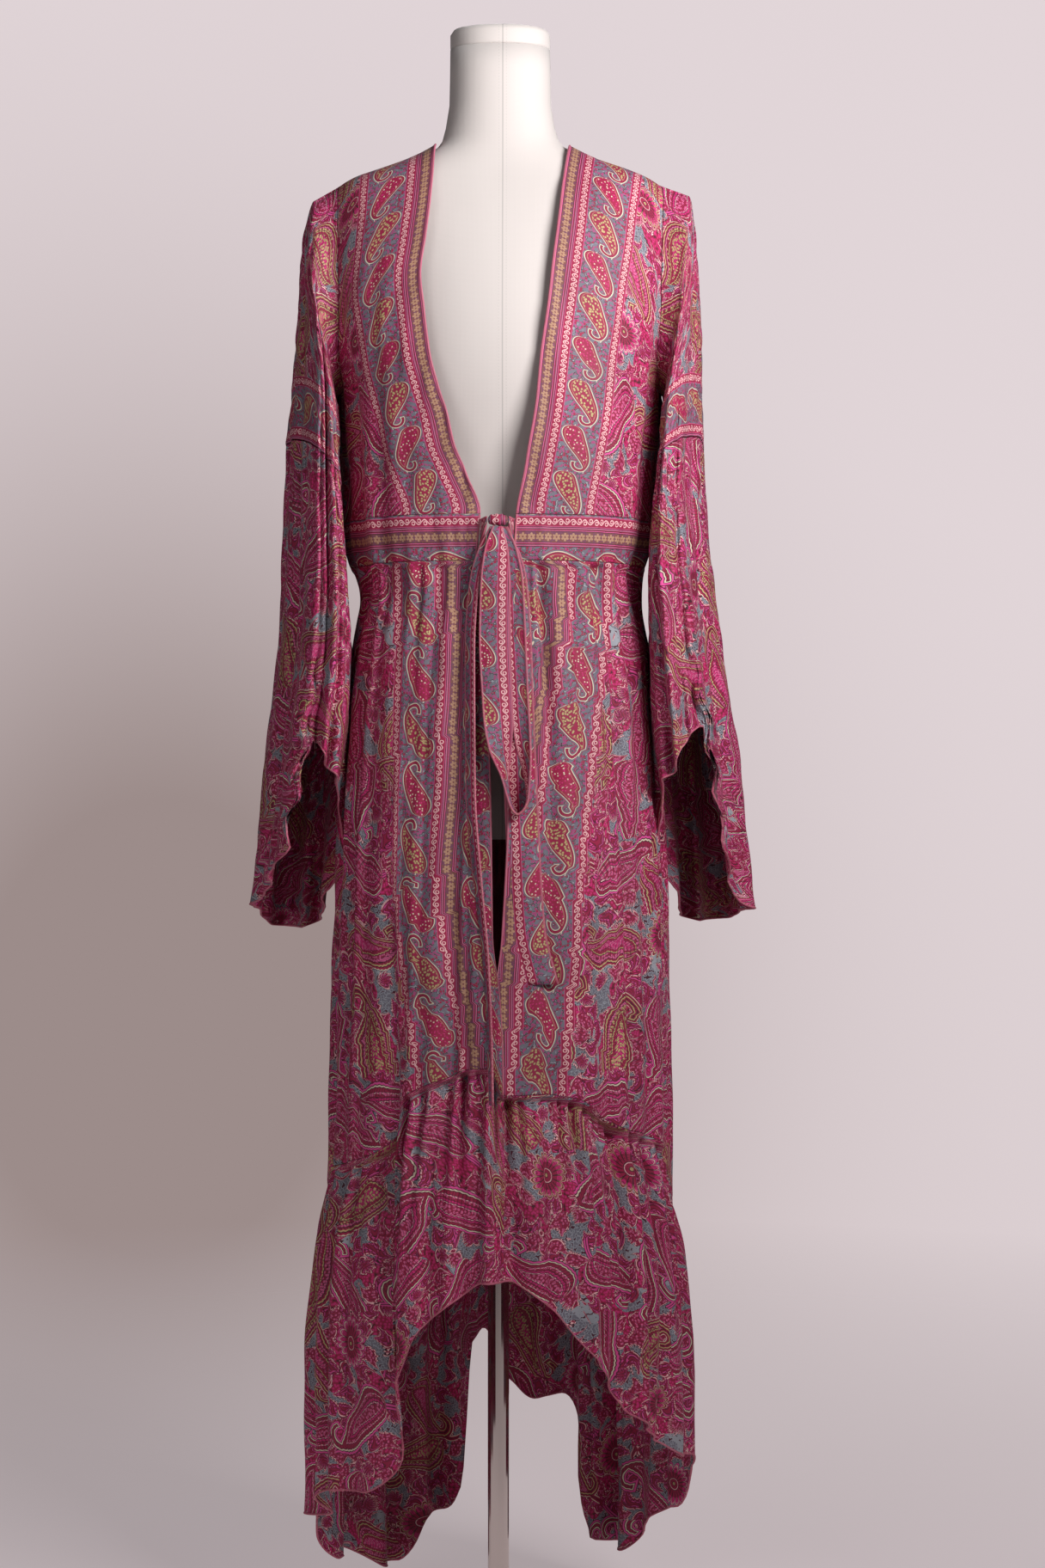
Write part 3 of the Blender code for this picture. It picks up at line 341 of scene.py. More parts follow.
# The soft folds down the upper sleeve, deepest near the elbow: angle, width and depth.
SLEEVE_FOLDS = {
    "left": (
        (-42, 10, 0.005),
        (3, 6, 0.010),
        (34, 8, 0.005),
        (64, 9, 0.006),
        (128, 12, 0.009),
        (205, 12, 0.009),
    ),
    "right": (
        (-30, 9, 0.004),
        (24, 12, 0.004),
        (58, 9, 0.005),
        (128, 12, 0.008),
        (205, 12, 0.009),
    ),
}
SLEEVE_FOLD_START = 1.3  # above 1, they are at full depth before the sleeve's seam
# The lengthwise folds of each sleeve's lower part: angle, width, and depth at the seam and the hem.
BELL_FOLDS = {
    "left": (
        (3, 5, 0.011, 0.003),
        (17, 4.5, 0.009, 0.006),
        (-18, 5, 0.007, 0.008),
        (-40, 6, 0.005, 0.006),
        (48, 6, 0.005, 0.009),
        (66, 6, 0.004, 0.010),
        (98, 8, 0.005, 0.010),
        (150, 9, 0.005, 0.012),
        (212, 9, 0.005, 0.012),
        (258, 8, 0.004, 0.008),
    ),
    "right": (
        (8, 6, 0.004, 0.007),
        (27, 5, 0.004, 0.010),
        (-16, 6, 0.004, 0.007),
        (-42, 6, 0.005, 0.006),
        (50, 6, 0.005, 0.009),
        (70, 7, 0.004, 0.010),
        (108, 8, 0.005, 0.010),
        (146, 9, 0.005, 0.012),
        (205, 9, 0.005, 0.012),
        (252, 8, 0.004, 0.008),
    ),
}
BELL_FOLD_START = 0.45  # the station where they start, half a station above their full depth
BELL_WAVES = 8
BELL_WAVE_SWAYS = ((1.0, 2, 0.8), (0.5, 3, 0.0))
BELL_WAVE_DEPTH = 0.0055
BELL_WAVE_UNEVENNESS = (0.3, 2, 0.0)
BELL_WAVE_GROWTH = 0.8
HEM_WAVES = 11
HEM_WAVE_SWAYS = ((1.3, 3, 0.5),)
HEM_WAVE_DEPTH = 0.0045
HEM_WAVE_START = 0.62  # share of the way down the bell
BELL_FULLNESS = 0.0060  # the bell's folds stand this far out at its hem
BELL_BLEND = 0.25  # share of the bell in which it takes on its own outline
# Where a bell's hem drops steeply it sways from side to side: its angle, width, and sway in degrees.
CASCADES = {"left": (27, 15, 9.0), "right": (46, 15, 8.0)}
CASCADE_PITCH = 0.0085  # metres up for a radian of the sway
CASCADE_START = 0.55  # share of the way down the bell
CASCADE_REACH = 0.30
ARMHOLE_INSET = 0.0006  # the sleeve's edge lies this far inside the armhole's edge
ARMHOLE_LIFT = 0.0002  # and this far outside the bodice's middle
ARMHOLE_SIDE = 0.18  # distance of the armhole from the middle
SEAM_STATIONS = 0.0015  # half of the gap between the sleeve and its bell, as stations
CAP_STATION = 0.10  # the sleeve leaves the armhole towards its own shape here

# The knot, and the ties that hang from it: their place, their width, the swing of a strip about its
# own length in degrees, and how far its middle lies in front of the robe.
KNOT_PLACE = (-0.0015, 1.1815)
KNOT_SIZE = (0.0105, 0.0065, 0.0065)
KNOT_OUT = 0.0135
KNOT_ROUNDNESS = 2.6
KNOT_SIDES = 28
KNOT_RINGS = 26
KNOT_CREASE = 0.16
KNOT_TURNS = 6.0
KNOT_SLANT = 0.8
KNOT_BORDER = 0.062
ROOT_SHARE = 0.80  # share of the waistband's height that a tie's root takes up
ROOT_END = 0.0080  # height of a root at the knot
ROOT_GAP = 0.0007
TIE_COLUMNS = ("x", "height", "width", "out", "swing")
TIE_CROWN = 0.10  # how far a tie's middle stands out, as a share of its width
TIES = {
    "tie_tail_right": Table(
        "drop height x width swing out",
        (0, 1.1745, 0.0040, 0.007, 0, 0.0110),
        (0.5, 1.1650, 0.0040, 0.0075, 0, 0.0112),
        (1, 1.1500, 0.0100, 0.021, 0, 0.0125),
        (2, 1.1200, 0.0140, 0.029, 0, 0.0095),
        (3, 1.0700, 0.0165, 0.033, 0, 0.0060),
        (5, 0.9600, 0.0200, 0.034, 0, 0.0050),
        (7, 0.8600, 0.0240, 0.035, 0, 0.0050),
        (9, 0.7600, 0.0290, 0.037, 0, 0.0050),
        (10, 0.7020, 0.0420, 0.039, 0, 0.0050),
    ),
    "tie_tail_left": Table(
        "drop height x width swing out",
        (0, 1.1745, -0.0070, 0.006, -10, 0.0115),
        (1, 1.1500, -0.0170, 0.011, -20, 0.0135),
        (2, 1.1200, -0.0250, 0.013, -35, 0.0115),
        (3, 1.0500, -0.0300, 0.016, -50, 0.0095),
        (5, 0.9000, -0.0290, 0.016, -50, 0.0095),
        (6, 0.8100, -0.0220, 0.016, -55, 0.0100),
        (7, 0.7300, -0.0140, 0.015, -60, 0.0105),
        (9, 0.6400, -0.0090, 0.012, -65, 0.0125),
        (10, 0.5800, -0.0075, 0.010, -65, 0.0210),
    ),
    "tie_loop": Table(
        "turn height x width swing out",
        (0.00, 1.1745, -0.0020, 0.010, 0, 0.0165),
        (0.04, 1.1500, -0.0030, 0.025, 0, 0.0190),
        (0.09, 1.1200, -0.0040, 0.031, 0, 0.0180),
        (0.19, 1.0600, -0.0045, 0.033, 0, 0.0168),
        (0.31, 0.9850, -0.0015, 0.032, 8, 0.0165),
        (0.38, 0.9450, 0.0005, 0.030, 38, 0.0170),
        (0.43, 0.9150, 0.0055, 0.026, 74, 0.0185),
        (0.47, 0.8940, 0.0090, 0.024, 86, 0.0190),
        (0.50, 0.8810, 0.0135, 0.023, 90, 0.0190),
        (0.53, 0.8770, 0.0185, 0.023, 90, 0.0190),
        (0.56, 0.8820, 0.0250, 0.023, 90, 0.0190),
        (0.59, 0.8950, 0.0290, 0.023, 94, 0.0188),
        (0.63, 0.9170, 0.0285, 0.022, 106, 0.0182),
        (0.69, 0.9500, 0.0245, 0.020, 145, 0.0152),
        (0.75, 0.9850, 0.0215, 0.020, 168, 0.0118),
        (0.87, 1.0600, 0.0175, 0.021, 176, 0.0112),
        (0.95, 1.1200, 0.0150, 0.020, 178, 0.0140),
        (0.98, 1.1500, 0.0110, 0.016, 180, 0.0160),
        (1.00, 1.1745, 0.0055, 0.007, 180, 0.0140),
    ),
}

# The cloth and its points
CLOTH = 0.0009  # thickness of the cloth here
HEM_ROLL = 0.0012  # radius of the rolled hem
PITCH = 0.0040  # distance between points of the cloth
ROOT_PITCH = 0.0020
HEM_STEPS = (0.0003, 0.0007, 0.0012, 0.0017, 0.0022, 0.0028, 0.0050)
SEAM_STEPS = (0.0008, 0.0018, 0.0032, 0.0055)
EDGE_STEPS = {"hem": HEM_STEPS, "seam": SEAM_STEPS, "plain": (0.003,)}
ARMHOLE_ROWS = 76
ARMHOLE_CROWDING = 1.3  # above 1, the rows are closer together by the shoulder
SLEEVE_COLUMNS = 132
TIE_ROWS = {"tie_tail_right": 90, "tie_tail_left": 90, "tie_loop": 180}
ROOT_ROWS = 24
# About how long the pieces are, for the number of their points
FRONT_WIDTH = 0.16
BACK_WIDTH = 0.44
SLEEVE_LENGTH = 0.28
BELL_LENGTH = 0.42
TIE_WIDTH = 0.033
ROOT_WIDTH = 0.038
LOWER_WIDTHS = {"waistband": 0.22, "skirt": 0.26, "flounce": 0.34}
LOWER_LENGTHS = {"waistband": 0.048, "skirt": 0.62, "flounce": 0.32}
FAR_AWAY = 1.0

# How seams draw the cloth in, and how loosely it hangs
SEAM_FLAT = 0.008  # a seam's folds reach their full depth this far from it
SEAM_DEPTH = 0.0008
SEAM_WIDTH = 0.0022
SIDE_METRES = 0.0028  # length of a degree around the robe
SLEEVE_METRES = 0.30  # length of a station along the sleeve
LOOSE_BELOW = 1.430  # above this the cloth lies smooth on the form
LOOSE_REACH = 0.08
SKIRT_FULLNESS = 0.0060  # the skirt's folds stand this far out
FULLNESS_REACH = 0.10
# Waves in the cloth that no seam makes: turns around, radians a metre up, phase and size.
RIPPLES = (
    (17, 23, 0.4, 0.0007),
    (29, -31, 1.9, 0.0005),
    (43, 17, 3.1, 0.0004),
    (11, 52, 0.9, 0.0005),
    (61, -74, 2.2, 0.0002),
)

# The print, in millimetres
DROP_HEAD = 31.0  # the drop's head ends this far from its middle
DROP_LENGTH = 61.0
DROP_SWAY = 0.063  # radians a millimetre of the drop's sway from head to tail
DROP_SWING = 10.5
DROP_ASIDE = 3
DROP_FULLNESS = 34.5
DROP_SLOPE = 0.85
HOOK_PLACE = (6, 22)  # the tail's hook, to the side of and below the drop's middle
HOOK_RADIUS = 8
HOOK_HALF = 2.2
HOOK_START = 19
DROP_GROWTH = 1.42  # the field's drops are larger than the border's by this
LARGE_CELL = 80
SMALL_CELL = 21
SPECK_CELL = 3.3
BUD = (8, 5.0, 4.5)  # petals, core and reach of a flower
DAISY = (18, 15, 8)
GOLD_FLOWER = (6, 1.8, 2.6)
GOLD_REPEAT = 9.0
LEAF_BOW = 0.016
LEAF_ASIDE = 2
LEAF_TAPER = 0.022
LEAF_HALF = 7.0
FLOW_TURN = 16  # how far the leaves' direction turns over the slow waves
WAVE_CELL = 46
BEND = 16.0  # how far slow waves push the field's motifs about
ROW_REPEAT = 60.0  # from drop to drop along a border
SCROLL_REPEAT = 13.0
SCROLLS = (4.7, 59.5, 134.0)  # middles of the scroll stripes across the border
SCROLL_HALF = 5.4
VINE_SWING = 2.5
CURL_RADIUS = 1.7
ROWS = (32.0, 107.0)  # middles of the two rows of drops
GOLDS = (75.5, 151.0)  # middles of the two gold strips
# Across the border, the next row, strip or stripe begins at each of these.
ROW_LIMITS = (70,)
GOLD_LIMITS = (110,)
SCROLL_LIMITS = (30, 97)
GOLD_HALF = 10.6
HEM_LINE = 2.4
# width in millimetres of the painted shade, a thin dark line, along each seam
PAINTED_SEAM_SHADE = 0.5
CRINKLE = 2.6
# Where pieces cut the border, in metres
NECK_BORDER = 0.0850
SLEEVE_BORDER = 0.0680
BAND_BORDER = 0.0520
TIE_BORDER = 0.0520
BODICE_REPEAT = 1.25  # the drops are closer together along the neckline
SKIRT_SHIFT = 0.2
# No two pieces show the same part of the field.
FIELD_SHIFTS = {
    "bodice_back": 0.31,
    "skirt_back": 0.05,
    "flounce_left": 0.4,
    "flounce_right": 0.9,
    "flounce_back": 1.5,
    "bell_left": 2.1,
    "bell_right": 2.8,
}
# Where the field starts beside the skirt's border, as distances from the middle.
FIELD_LINE = Table(
    "height left right",
    (0.380, -0.080, 0.062),
    (0.594, -0.090, 0.068),
    (0.650, -0.096, 0.073),
    (0.826, -0.112, 0.088),
    (1.105, -0.112, 0.116),
    (1.141, -0.112, 0.118),
)

INKS = {
    "crimson": (150, 20, 64),
    "wine": (72, 10, 34),
    "magenta": (194, 36, 108),
    "pink": (214, 72, 144),
    "rose": (206, 92, 138),
    "orchid": (160, 62, 112),
    "plum": (112, 60, 84),
    "blush": (228, 178, 180),
    "cream": (214, 196, 174),
    "mist": (150, 152, 160),
    "slate": (108, 106, 118),
    "gold": (186, 160, 112),
    "sand": (172, 130, 104),
    "olive": (122, 70, 66),
    "hem": (184, 96, 116),
}
# Nested bands of a motif: each ink, and the distance outside the motif's edge where it starts.
SMALL_BANDS = "crimson -12, wine -5.2, pink -4.6, wine -3.2, crimson -2.6, blush -0.9, wine 0.1, clear 0.9"
LARGE_BANDS = (
    "crimson -20, wine -13.4, blush -12.8, wine -12, magenta -11.4, wine -9.4, crimson -8.8, "
    "blush -6.2, wine -5.4, crimson -4.8, wine -2, cream -1.4, wine -0.3, pink 0.4, wine 1.9, clear 2.6"
)
OTHER_BANDS = (
    "magenta -20, wine -13.2, crimson -12.6, gold -9.6, wine -8.6, crimson -8, wine -5.6, rose -5, "
    "wine -3.4, crimson -2.8, gold -1.4, wine -0.3, crimson 0.4, cream 1.8, clear 2.6"
)
ROW_BANDS = "crimson -16, sand -3.4, crimson -2.8, wine -1.1, cream -0.6, slate 0.4, crimson 1.8, clear 2.4"
# The same from the middle of a daisy, and of a gold strip.
DAISY_BANDS = "gold 0, wine 1.6, crimson 2.4, blush 5.6, wine 6.4, crimson 7.2, magenta 14, rose 19"
LINE_BANDS = "clear 0, wine 5.6, rose 6.2, wine 7, crimson 7.6, slate 8.4, rose 9, wine 9.7"

# The stand's finishes
LINEN = (206, 197, 193)
CHROME = (206, 196, 190)
FORM_SEAM = 0.003  # the form's front seam stands this far from the middle
FORM_SEAM_HALF = 0.0007
STITCH_OUT = 0.004  # its stitches lie this far beside it
STITCH_HALF = 0.0004
STITCH_TURNS = 2000  # radians of stitches a metre
WEAVE_TURNS = 5700  # radians of weave a metre
SHARP_EDGE = math.radians(50)

# The studio
FLOOR = (212, 200, 202)
FLOOR_SIDES = 64
FLOOR_REACH = 2.8
FLOOR_FADE = 0.5  # the floor starts to fade this far from the middle
FLOOR_PAINTED_LIGHT_SLOPE = 0.08  # painted light: the floor's glow is brighter to the right
FLOOR_GLOW = 0.45  # painted light: like the backdrop, the floor glows brighter than the robe's surroundings
LENS = 63.7  # millimetres, for 36 mm along the picture's long side
CAMERA_PLACE = (0.024, -3.0, 0.908)
LIGHT_TARGET = np.array((0.0, 0.0, 2.6))
LIGHTS = (
    ("key", (0.98, -1.22, 1.80), 0.8, 49),
    ("fill", (-1.5, -2.1, 1.5), 1.3, 11),
)
AMBIENT = 0.11  # share of the backdrop's light that reaches the robe from all sides
BACKDROP_LIGHT = (226, 214, 217)
BACKDROP_DARK = (156, 140, 138)
# The robe's soft shadow on the backdrop, as a direction. It and the slow fall of light are ahead only.
SHADOW_PLACE = (-0.125, -0.075)
SHADOW_REACH = (0.16, 0.20)
FALL = (-0.25, -0.45)
FALL_START = 0.08
AHEAD_START = 0.3
AHEAD_REACH = 0.5


def smooth_step(value):
    t = np.clip(value, 0, 1)
    return t * t * (3 - 2 * t)


def wrapped(degrees):
    """The same direction, between -180 and 180 degrees."""
    return (degrees + 180) % 360 - 180


def hump(degrees, angle, width):
    """1 at an angle, and falling to 0 on both sides of it."""
    return np.exp(-((wrapped(degrees - angle) / width) ** 2))


def between(height, low, high, ends):
    """1 between two heights, and falling to 0 over the ends inside them."""
    return smooth_step((height - low) / ends[0]) * smooth_step((high - height) / ends[1])


def uneven(turn, waves, sways):
    """Phase of waves that slow sways make uneven."""
    return waves * turn + sum(size * np.sin(turns * turn + phase) for size, turns, phase in sways)


def section_point(table, angle, height, out=0.0):
    """Point at an angle from the front on a squared oval section."""
    side = np.where(np.sin(angle) < 0, table("left", height), table("right", height))
    depth = np.where(np.cos(angle) > 0, table("front", height), table("back", height))
    across = np.abs(np.sin(angle) / side) ** SQUARENESS
    along = np.abs(np.cos(angle) / depth) ** SQUARENESS
    reach = (across + along) ** (-1 / SQUARENESS) + out
    return np.stack([reach * np.sin(angle), -reach * np.cos(angle), height + 0 * reach], axis=-1)


def gathers(seed, count, first, last, width, depth, reach):
    """Small folds at uneven places between two angles: angle, width, depth, reach and lean."""
    draw = np.random.default_rng(seed)
    place = np.arange(count) + 0.5 + draw.uniform(-0.35, 0.35, count)
    angle = first + (last - first) * place / count
    widths = width * draw.uniform(0.7, 1.4, count)
    depths = depth * draw.uniform(0.35, 1.3, count)
    reaches = reach * draw.uniform(0.5, 1.6, count)
    return np.stack([angle, widths, depths, reaches, width * draw.uniform(-1, 1, count)], axis=-1)


SKIRT_GATHERS = gathers(11, 58, -180, 180, 1.5, 0.0045, 0.120)
BODICE_GATHERS = gathers(12, 44, -180, 180, 1.8, 0.0018, 0.060)
FLOUNCE_GATHERS = gathers(13, 66, -180, 180, 1.5, 0.0150, 0.120)
SKIRT_FOLDS = gathers(18, 36, -180, 180, 1.7, 0.0075, 0.450)
FLOUNCE_FOLDS = gathers(19, 34, -180, 180, 1.7, 0.0120, 0.300)
CAP_GATHERS = gathers(14, 26, -30, 210, 3.4, 0.0026, 0.090)
BELL_GATHERS = gathers(15, 38, 0, 360, 3.0, 0.0030, 0.240)
BAND_PUCKERS = gathers(16, 9, -30, -7, 1.1, 0.0018, 0.030)


def creases(degrees, away, rows):
    """Depth of a seam's small folds at a distance from the seam."""
    depth = 0.0
    for angle, width, deepest, reach, lean in rows:
        fold = hump(degrees - lean * away / reach, angle, width)
        depth = depth + deepest * fold * np.exp(-((away / reach) ** 2))
    return depth * smooth_step(away / SEAM_FLAT)


def ripples(turn, along):
    """Low uneven waves that no seam makes."""
    return sum(size * np.sin(around * turn + up * along + phase) for around, up, phase, size in RIPPLES)


def seam_dip(distance):
    """How far a seam draws the cloth in."""
    return SEAM_DEPTH * np.exp(-((distance / SEAM_WIDTH) ** 2))


def deep_folds(degrees, height, seam, hem):
    """Depth of the soft folds on the skirt or flounce, and how far they lean sideways."""
    depth = 0.0
    lean = 0.0
    upper = smooth_step((WAIST_BOTTOM - height) / (WAIST_BOTTOM - THIGH))
    lower = smooth_step((THIGH - height) / (THIGH - seam))
    share = np.clip((seam - height) / (seam - hem), 0, 1)
    for angle, width, waist, thigh, at_seam, at_hem, leaning in DEEP_FOLDS:
        above = waist + (thigh - waist) * upper
        below = thigh + (at_seam - thigh) * lower
        under = at_seam + (at_hem - at_seam) * share
        deepest = np.where(height > THIGH, above, np.where(height > seam, below, under))
        fold = hump(degrees, angle, width) * deepest
        depth = depth + fold
        lean = lean + fold * leaning / LEAN_REACH
    start = smooth_step((WAIST_TOP - height) / (WAIST_TOP - WAIST_BOTTOM))
    return depth * start, lean * start


def side_folds(degrees, height):
    """Depth of the troughs between the bodice's fronts and its sides, less the folds under the arms."""
    trough = sum(deepest * hump(degrees, angle, width) for angle, width, deepest in SIDE_FOLDS)
    fold = sum(ARM_FOLD_OUT * hump(degrees, angle, ARM_FOLD_WIDTH) for angle in ARM_FOLDS)
    trough = trough * between(height, SIDE_FOLD_LOW, SIDE_FOLD_HIGH, SIDE_FOLD_ENDS)
    return trough - fold * between(height, ARM_FOLD_LOW, ARM_FOLD_HIGH, ARM_FOLD_ENDS)


def flounce_waves(degrees, share, depth):
    """Depth of the flounce's waves, small at the seam and full at the hem."""
    turn = np.radians(degrees)
    size, turns, phase = WAVE_UNEVENNESS
    unevenness = 1 + size * np.sin(turns * turn + phase)
    waves = 1 - np.cos(uneven(turn, WAVES_AROUND, WAVE_SWAYS))
    return depth * unevenness * waves * (WAVE_AT_SEAM + (1 - WAVE_AT_SEAM) * share)


def robe_point(angle, height):
    """Middle of the robe's cloth at an angle from the front and a height."""
    degrees = wrapped(np.degrees(angle))
    seam = AROUND("seam", degrees)
    hem = AROUND("hem", degrees)
    drop = np.clip(seam - height, 0, None)
    share = np.clip(drop / (seam - hem), 0, 1)
    below = np.clip(WAIST_BOTTOM - height, 0, None)
    above = np.clip(height - WAIST_TOP, 0, None)
    fold, lean = deep_folds(degrees, height, seam, hem)
    out = FLARE("out", drop) - fold - side_folds(degrees, height)
    out = out - flounce_waves(degrees, share, AROUND("wave", degrees)) * smooth_step(drop / WAVE_START)
    for away, rows in (
        (below, SKIRT_GATHERS),
        (below, SKIRT_FOLDS),
        (drop, FLOUNCE_GATHERS),
        (drop, FLOUNCE_FOLDS),
        (above, BODICE_GATHERS),
        (np.abs(WAIST_TOP - height), BAND_PUCKERS),
    ):
        out = out - creases(degrees, away, rows)
    out = out + SKIRT_FULLNESS * smooth_step(below / FULLNESS_REACH)
    loose = 1 - smooth_step((height - LOOSE_BELOW) / LOOSE_REACH)
    out = out + ripples(np.radians(degrees), height) * loose
    side = (np.abs(degrees) - 90) * SIDE_METRES
    for distance in (height - WAIST_TOP, height - WAIST_BOTTOM, height - seam, side):
        out = out - seam_dip(distance)
    point = section_point(ROBE, angle + lean, height, out)
    ease = smooth_step((height - EASE_START) / EASE_REACH)
    bridge = np.where(np.cos(angle) > 0, FRONT_EASE, BACK_EASE)
    point[..., 2] += bridge * (np.hypot(np.cos(angle), EASE_SOFTNESS) - EASE_SOFTNESS) * ease
    return point


def lapping_point(angle, height):
    """Middle of the left front's cloth, which laps over the right front low down."""
    point = robe_point(angle, height)
    over_right = smooth_step((np.degrees(angle) - LAP_START) / LAP_SOFTNESS)
    point[..., 1] -= LAP_OUT * over_right * smooth_step((LAP_TOP - height) / LAP_RISE)
    return point


def normals(place, across, along):
    """Directions square to the surface place(across, along)."""
    step = 1e-4
    run = place(across + step, along) - place(across - step, along)
    rise = place(across, along + step) - place(across, along - step)
    square = np.cross(run, rise)
    return square / np.linalg.norm(square, axis=-1, keepdims=True)


def front_depth(x, height):
    """How far the robe's front lies in front of the middle at a distance to the side."""
    half = np.where(x < 0, ROBE("left", height), ROBE("right", height))
    inside = np.clip(np.abs(x) / half, 0, 0.999)
    return ROBE("front", height) * (1 - inside ** SQUARENESS) ** (1 / SQUARENESS)


def edge_angle(side, height):
    """Angle of a front edge, which has its own distance from the middle at each height."""
    x = FRONT_EDGE(side, height)
    reach = np.clip(np.abs(x) / ROBE(side, height), 0, 1)
    depth = ROBE("front", height) * (1 - reach ** SQUARENESS) ** (1 / SQUARENESS)
    return np.arctan2(x, depth)


def seam_angle(height):
    """Half of a seam's gap as an angle at the side of the robe."""
    return SEAM / 2 / ROBE("right", height)


def armhole_edge(turn, inset=0.0):
    """Angle away from the side line and height, around the armhole from its back."""
    middle = (SHOULDER_TIP + UNDERARM) / 2
    half = (SHOULDER_TIP - UNDERARM) / 2 - inset
    return (ARMHOLE_SPREAD - inset / ARMHOLE_SIDE) * np.cos(turn), middle + half * np.sin(turn)


def armhole_ring(sign, turn):
    """The sleeve's first ring, just inside the armhole's edge."""
    spread, height = armhole_edge(turn, ARMHOLE_INSET)
    angle = sign * (np.pi / 2 - spread)
    out = normals(robe_point, angle, height)
    out = out * np.where(out[..., :1] * sign > 0, 1, -1)
    return robe_point(angle, height) + out * ARMHOLE_LIFT


def oval(table, sign, turn, key):
    """Sideways and forward place on an oval with a known outline, whose front swings in."""
    inner, outer, swing = (table(name, key) for name in ("inner", "outer", "swing"))
    half = np.sqrt(((outer - inner) / 2) ** 2 - swing ** 2)
    x = (inner + outer) / 2 + half * np.sin(turn) - swing * np.cos(turn)
    return sign * x, -table("depth", key) * np.cos(turn)


def sleeve_ring(side, sign, turn, station):
    """Upper sleeve: an oval between the underarm line and the outer line."""
    table = SLEEVE[side]
    x, y = oval(table, sign, turn, station)
    low = table("inner_height", station)
    high = table("outer_height", station)
    return np.stack([x, y, low + (high - low) * (1 + np.sin(turn)) / 2], axis=-1)


def bell_ring(side, sign, turn, height):
    """Bell of the sleeve: an oval that widens downwards."""
    x, y = oval(BELL[side], sign, turn, height)
    return np.stack([x, y, height + 0 * x], axis=-1)


def ring_middle(ring, side, sign, turn, key):
    """Middle of a ring of the sleeve, halfway between its front and its back."""
    return (ring(side, sign, 0 * turn, key) + ring(side, sign, 0 * turn + np.pi, key)) / 2


def towards_middle(points, centre):
    """Level directions from points to the middle line of the sleeve."""
    away = centre - points
    away[..., 2] = 0
    return away / np.linalg.norm(away, axis=-1, keepdims=True)


def sleeve_depth(side, turn, upper, down):
    """Depth of all folds of a sleeve: its own, those of its seams and the waves of its bell."""
    degrees = np.degrees(turn) % 360
    folds = sum(deepest * hump(degrees, angle, width) for angle, width, deepest in SLEEVE_FOLDS[side])
    depth = folds * smooth_step(upper * SLEEVE_FOLD_START) + creases(degrees, upper, CAP_GATHERS)
    for angle, width, at_seam, at_hem in BELL_FOLDS[side]:
        size = at_seam * smooth_step((upper - BELL_FOLD_START) * 2) + (at_hem - at_seam) * down
        depth = depth + size * hump(degrees, angle, width)
    size, turns, phase = BELL_WAVE_UNEVENNESS
    unevenness = 1 + size * np.sin(turns * turn + phase)
    waves = 1 - np.cos(uneven(turn, BELL_WAVES, BELL_WAVE_SWAYS))
    depth = depth + BELL_WAVE_DEPTH * unevenness * waves * down ** BELL_WAVE_GROWTH
    depth = depth + creases(degrees, down, BELL_GATHERS)
    flutter = 1 + np.sin(uneven(turn, HEM_WAVES, HEM_WAVE_SWAYS))
    by_hem = smooth_step((down - HEM_WAVE_START) / (1 - HEM_WAVE_START))
    depth = depth + HEM_WAVE_DEPTH * flutter * by_hem ** 2 - BELL_FULLNESS * smooth_step(down)
    return depth + ripples(turn, upper + down) * smooth_step(upper * 4)


def sleeve_point(side, turn, station):
    """Middle of the sleeve's cloth: stations 0 to 1 are the upper sleeve and 1 to 2 the bell."""
    sign = SIGNS[side]
    degrees = np.degrees(turn) % 360
    upper = np.clip(station, 0, 1)
    own = sleeve_ring(side, sign, turn, np.maximum(upper, CAP_STATION))
    blend = 1 - np.clip(1 - upper / CAP_STATION, 0, 1)[..., None] ** 2
    ring = armhole_ring(sign, turn) * (1 - blend) + own * blend
    down = np.clip(station - 1, 0, 1)
    seam = sleeve_ring(side, sign, turn, 0 * station + 1)
    height = seam[..., 2] + (CUFF[side]("hem", degrees) - seam[..., 2]) * down
    angle, width, sway = CASCADES[side]
    near = hump(degrees, angle, width) * smooth_step((down - CASCADE_START) / CASCADE_REACH)
    swayed = turn + np.radians(sway) * np.sin(height / CASCADE_PITCH) * near
    step = seam - bell_ring(side, sign, turn, seam[..., 2])
    bell = bell_ring(side, sign, swayed, height) + step * (1 - smooth_step(down / BELL_BLEND))[..., None]
    is_bell = (station > 1)[..., None]
    points = np.where(is_bell, bell, ring)
    upper_middle = ring_middle(sleeve_ring, side, sign, turn, upper)
    centre = np.where(is_bell, ring_middle(bell_ring, side, sign, turn, height), upper_middle)
    depth = sleeve_depth(side, turn, upper, down) + seam_dip((station - 1) * SLEEVE_METRES)
    return points + towards_middle(points, centre) * depth[..., None]


def strip_point(name, across, along):
    """Middle of a tie's cloth, across the strip and along its path."""
    x, height, width, out, swing = (TIES[name](column, along) for column in TIE_COLUMNS)
    swing = np.radians(swing)
    share = across - 0.5
    crown = TIE_CROWN * width * (1 - 4 * share * share)
    depth = front_depth(x, height) + out
    x = x + width * share * np.cos(swing) + crown * np.sin(swing)
    y = -depth + width * share * np.sin(swing) - crown * np.cos(swing)
    return np.stack([x, y, height + 0 * share], axis=-1)


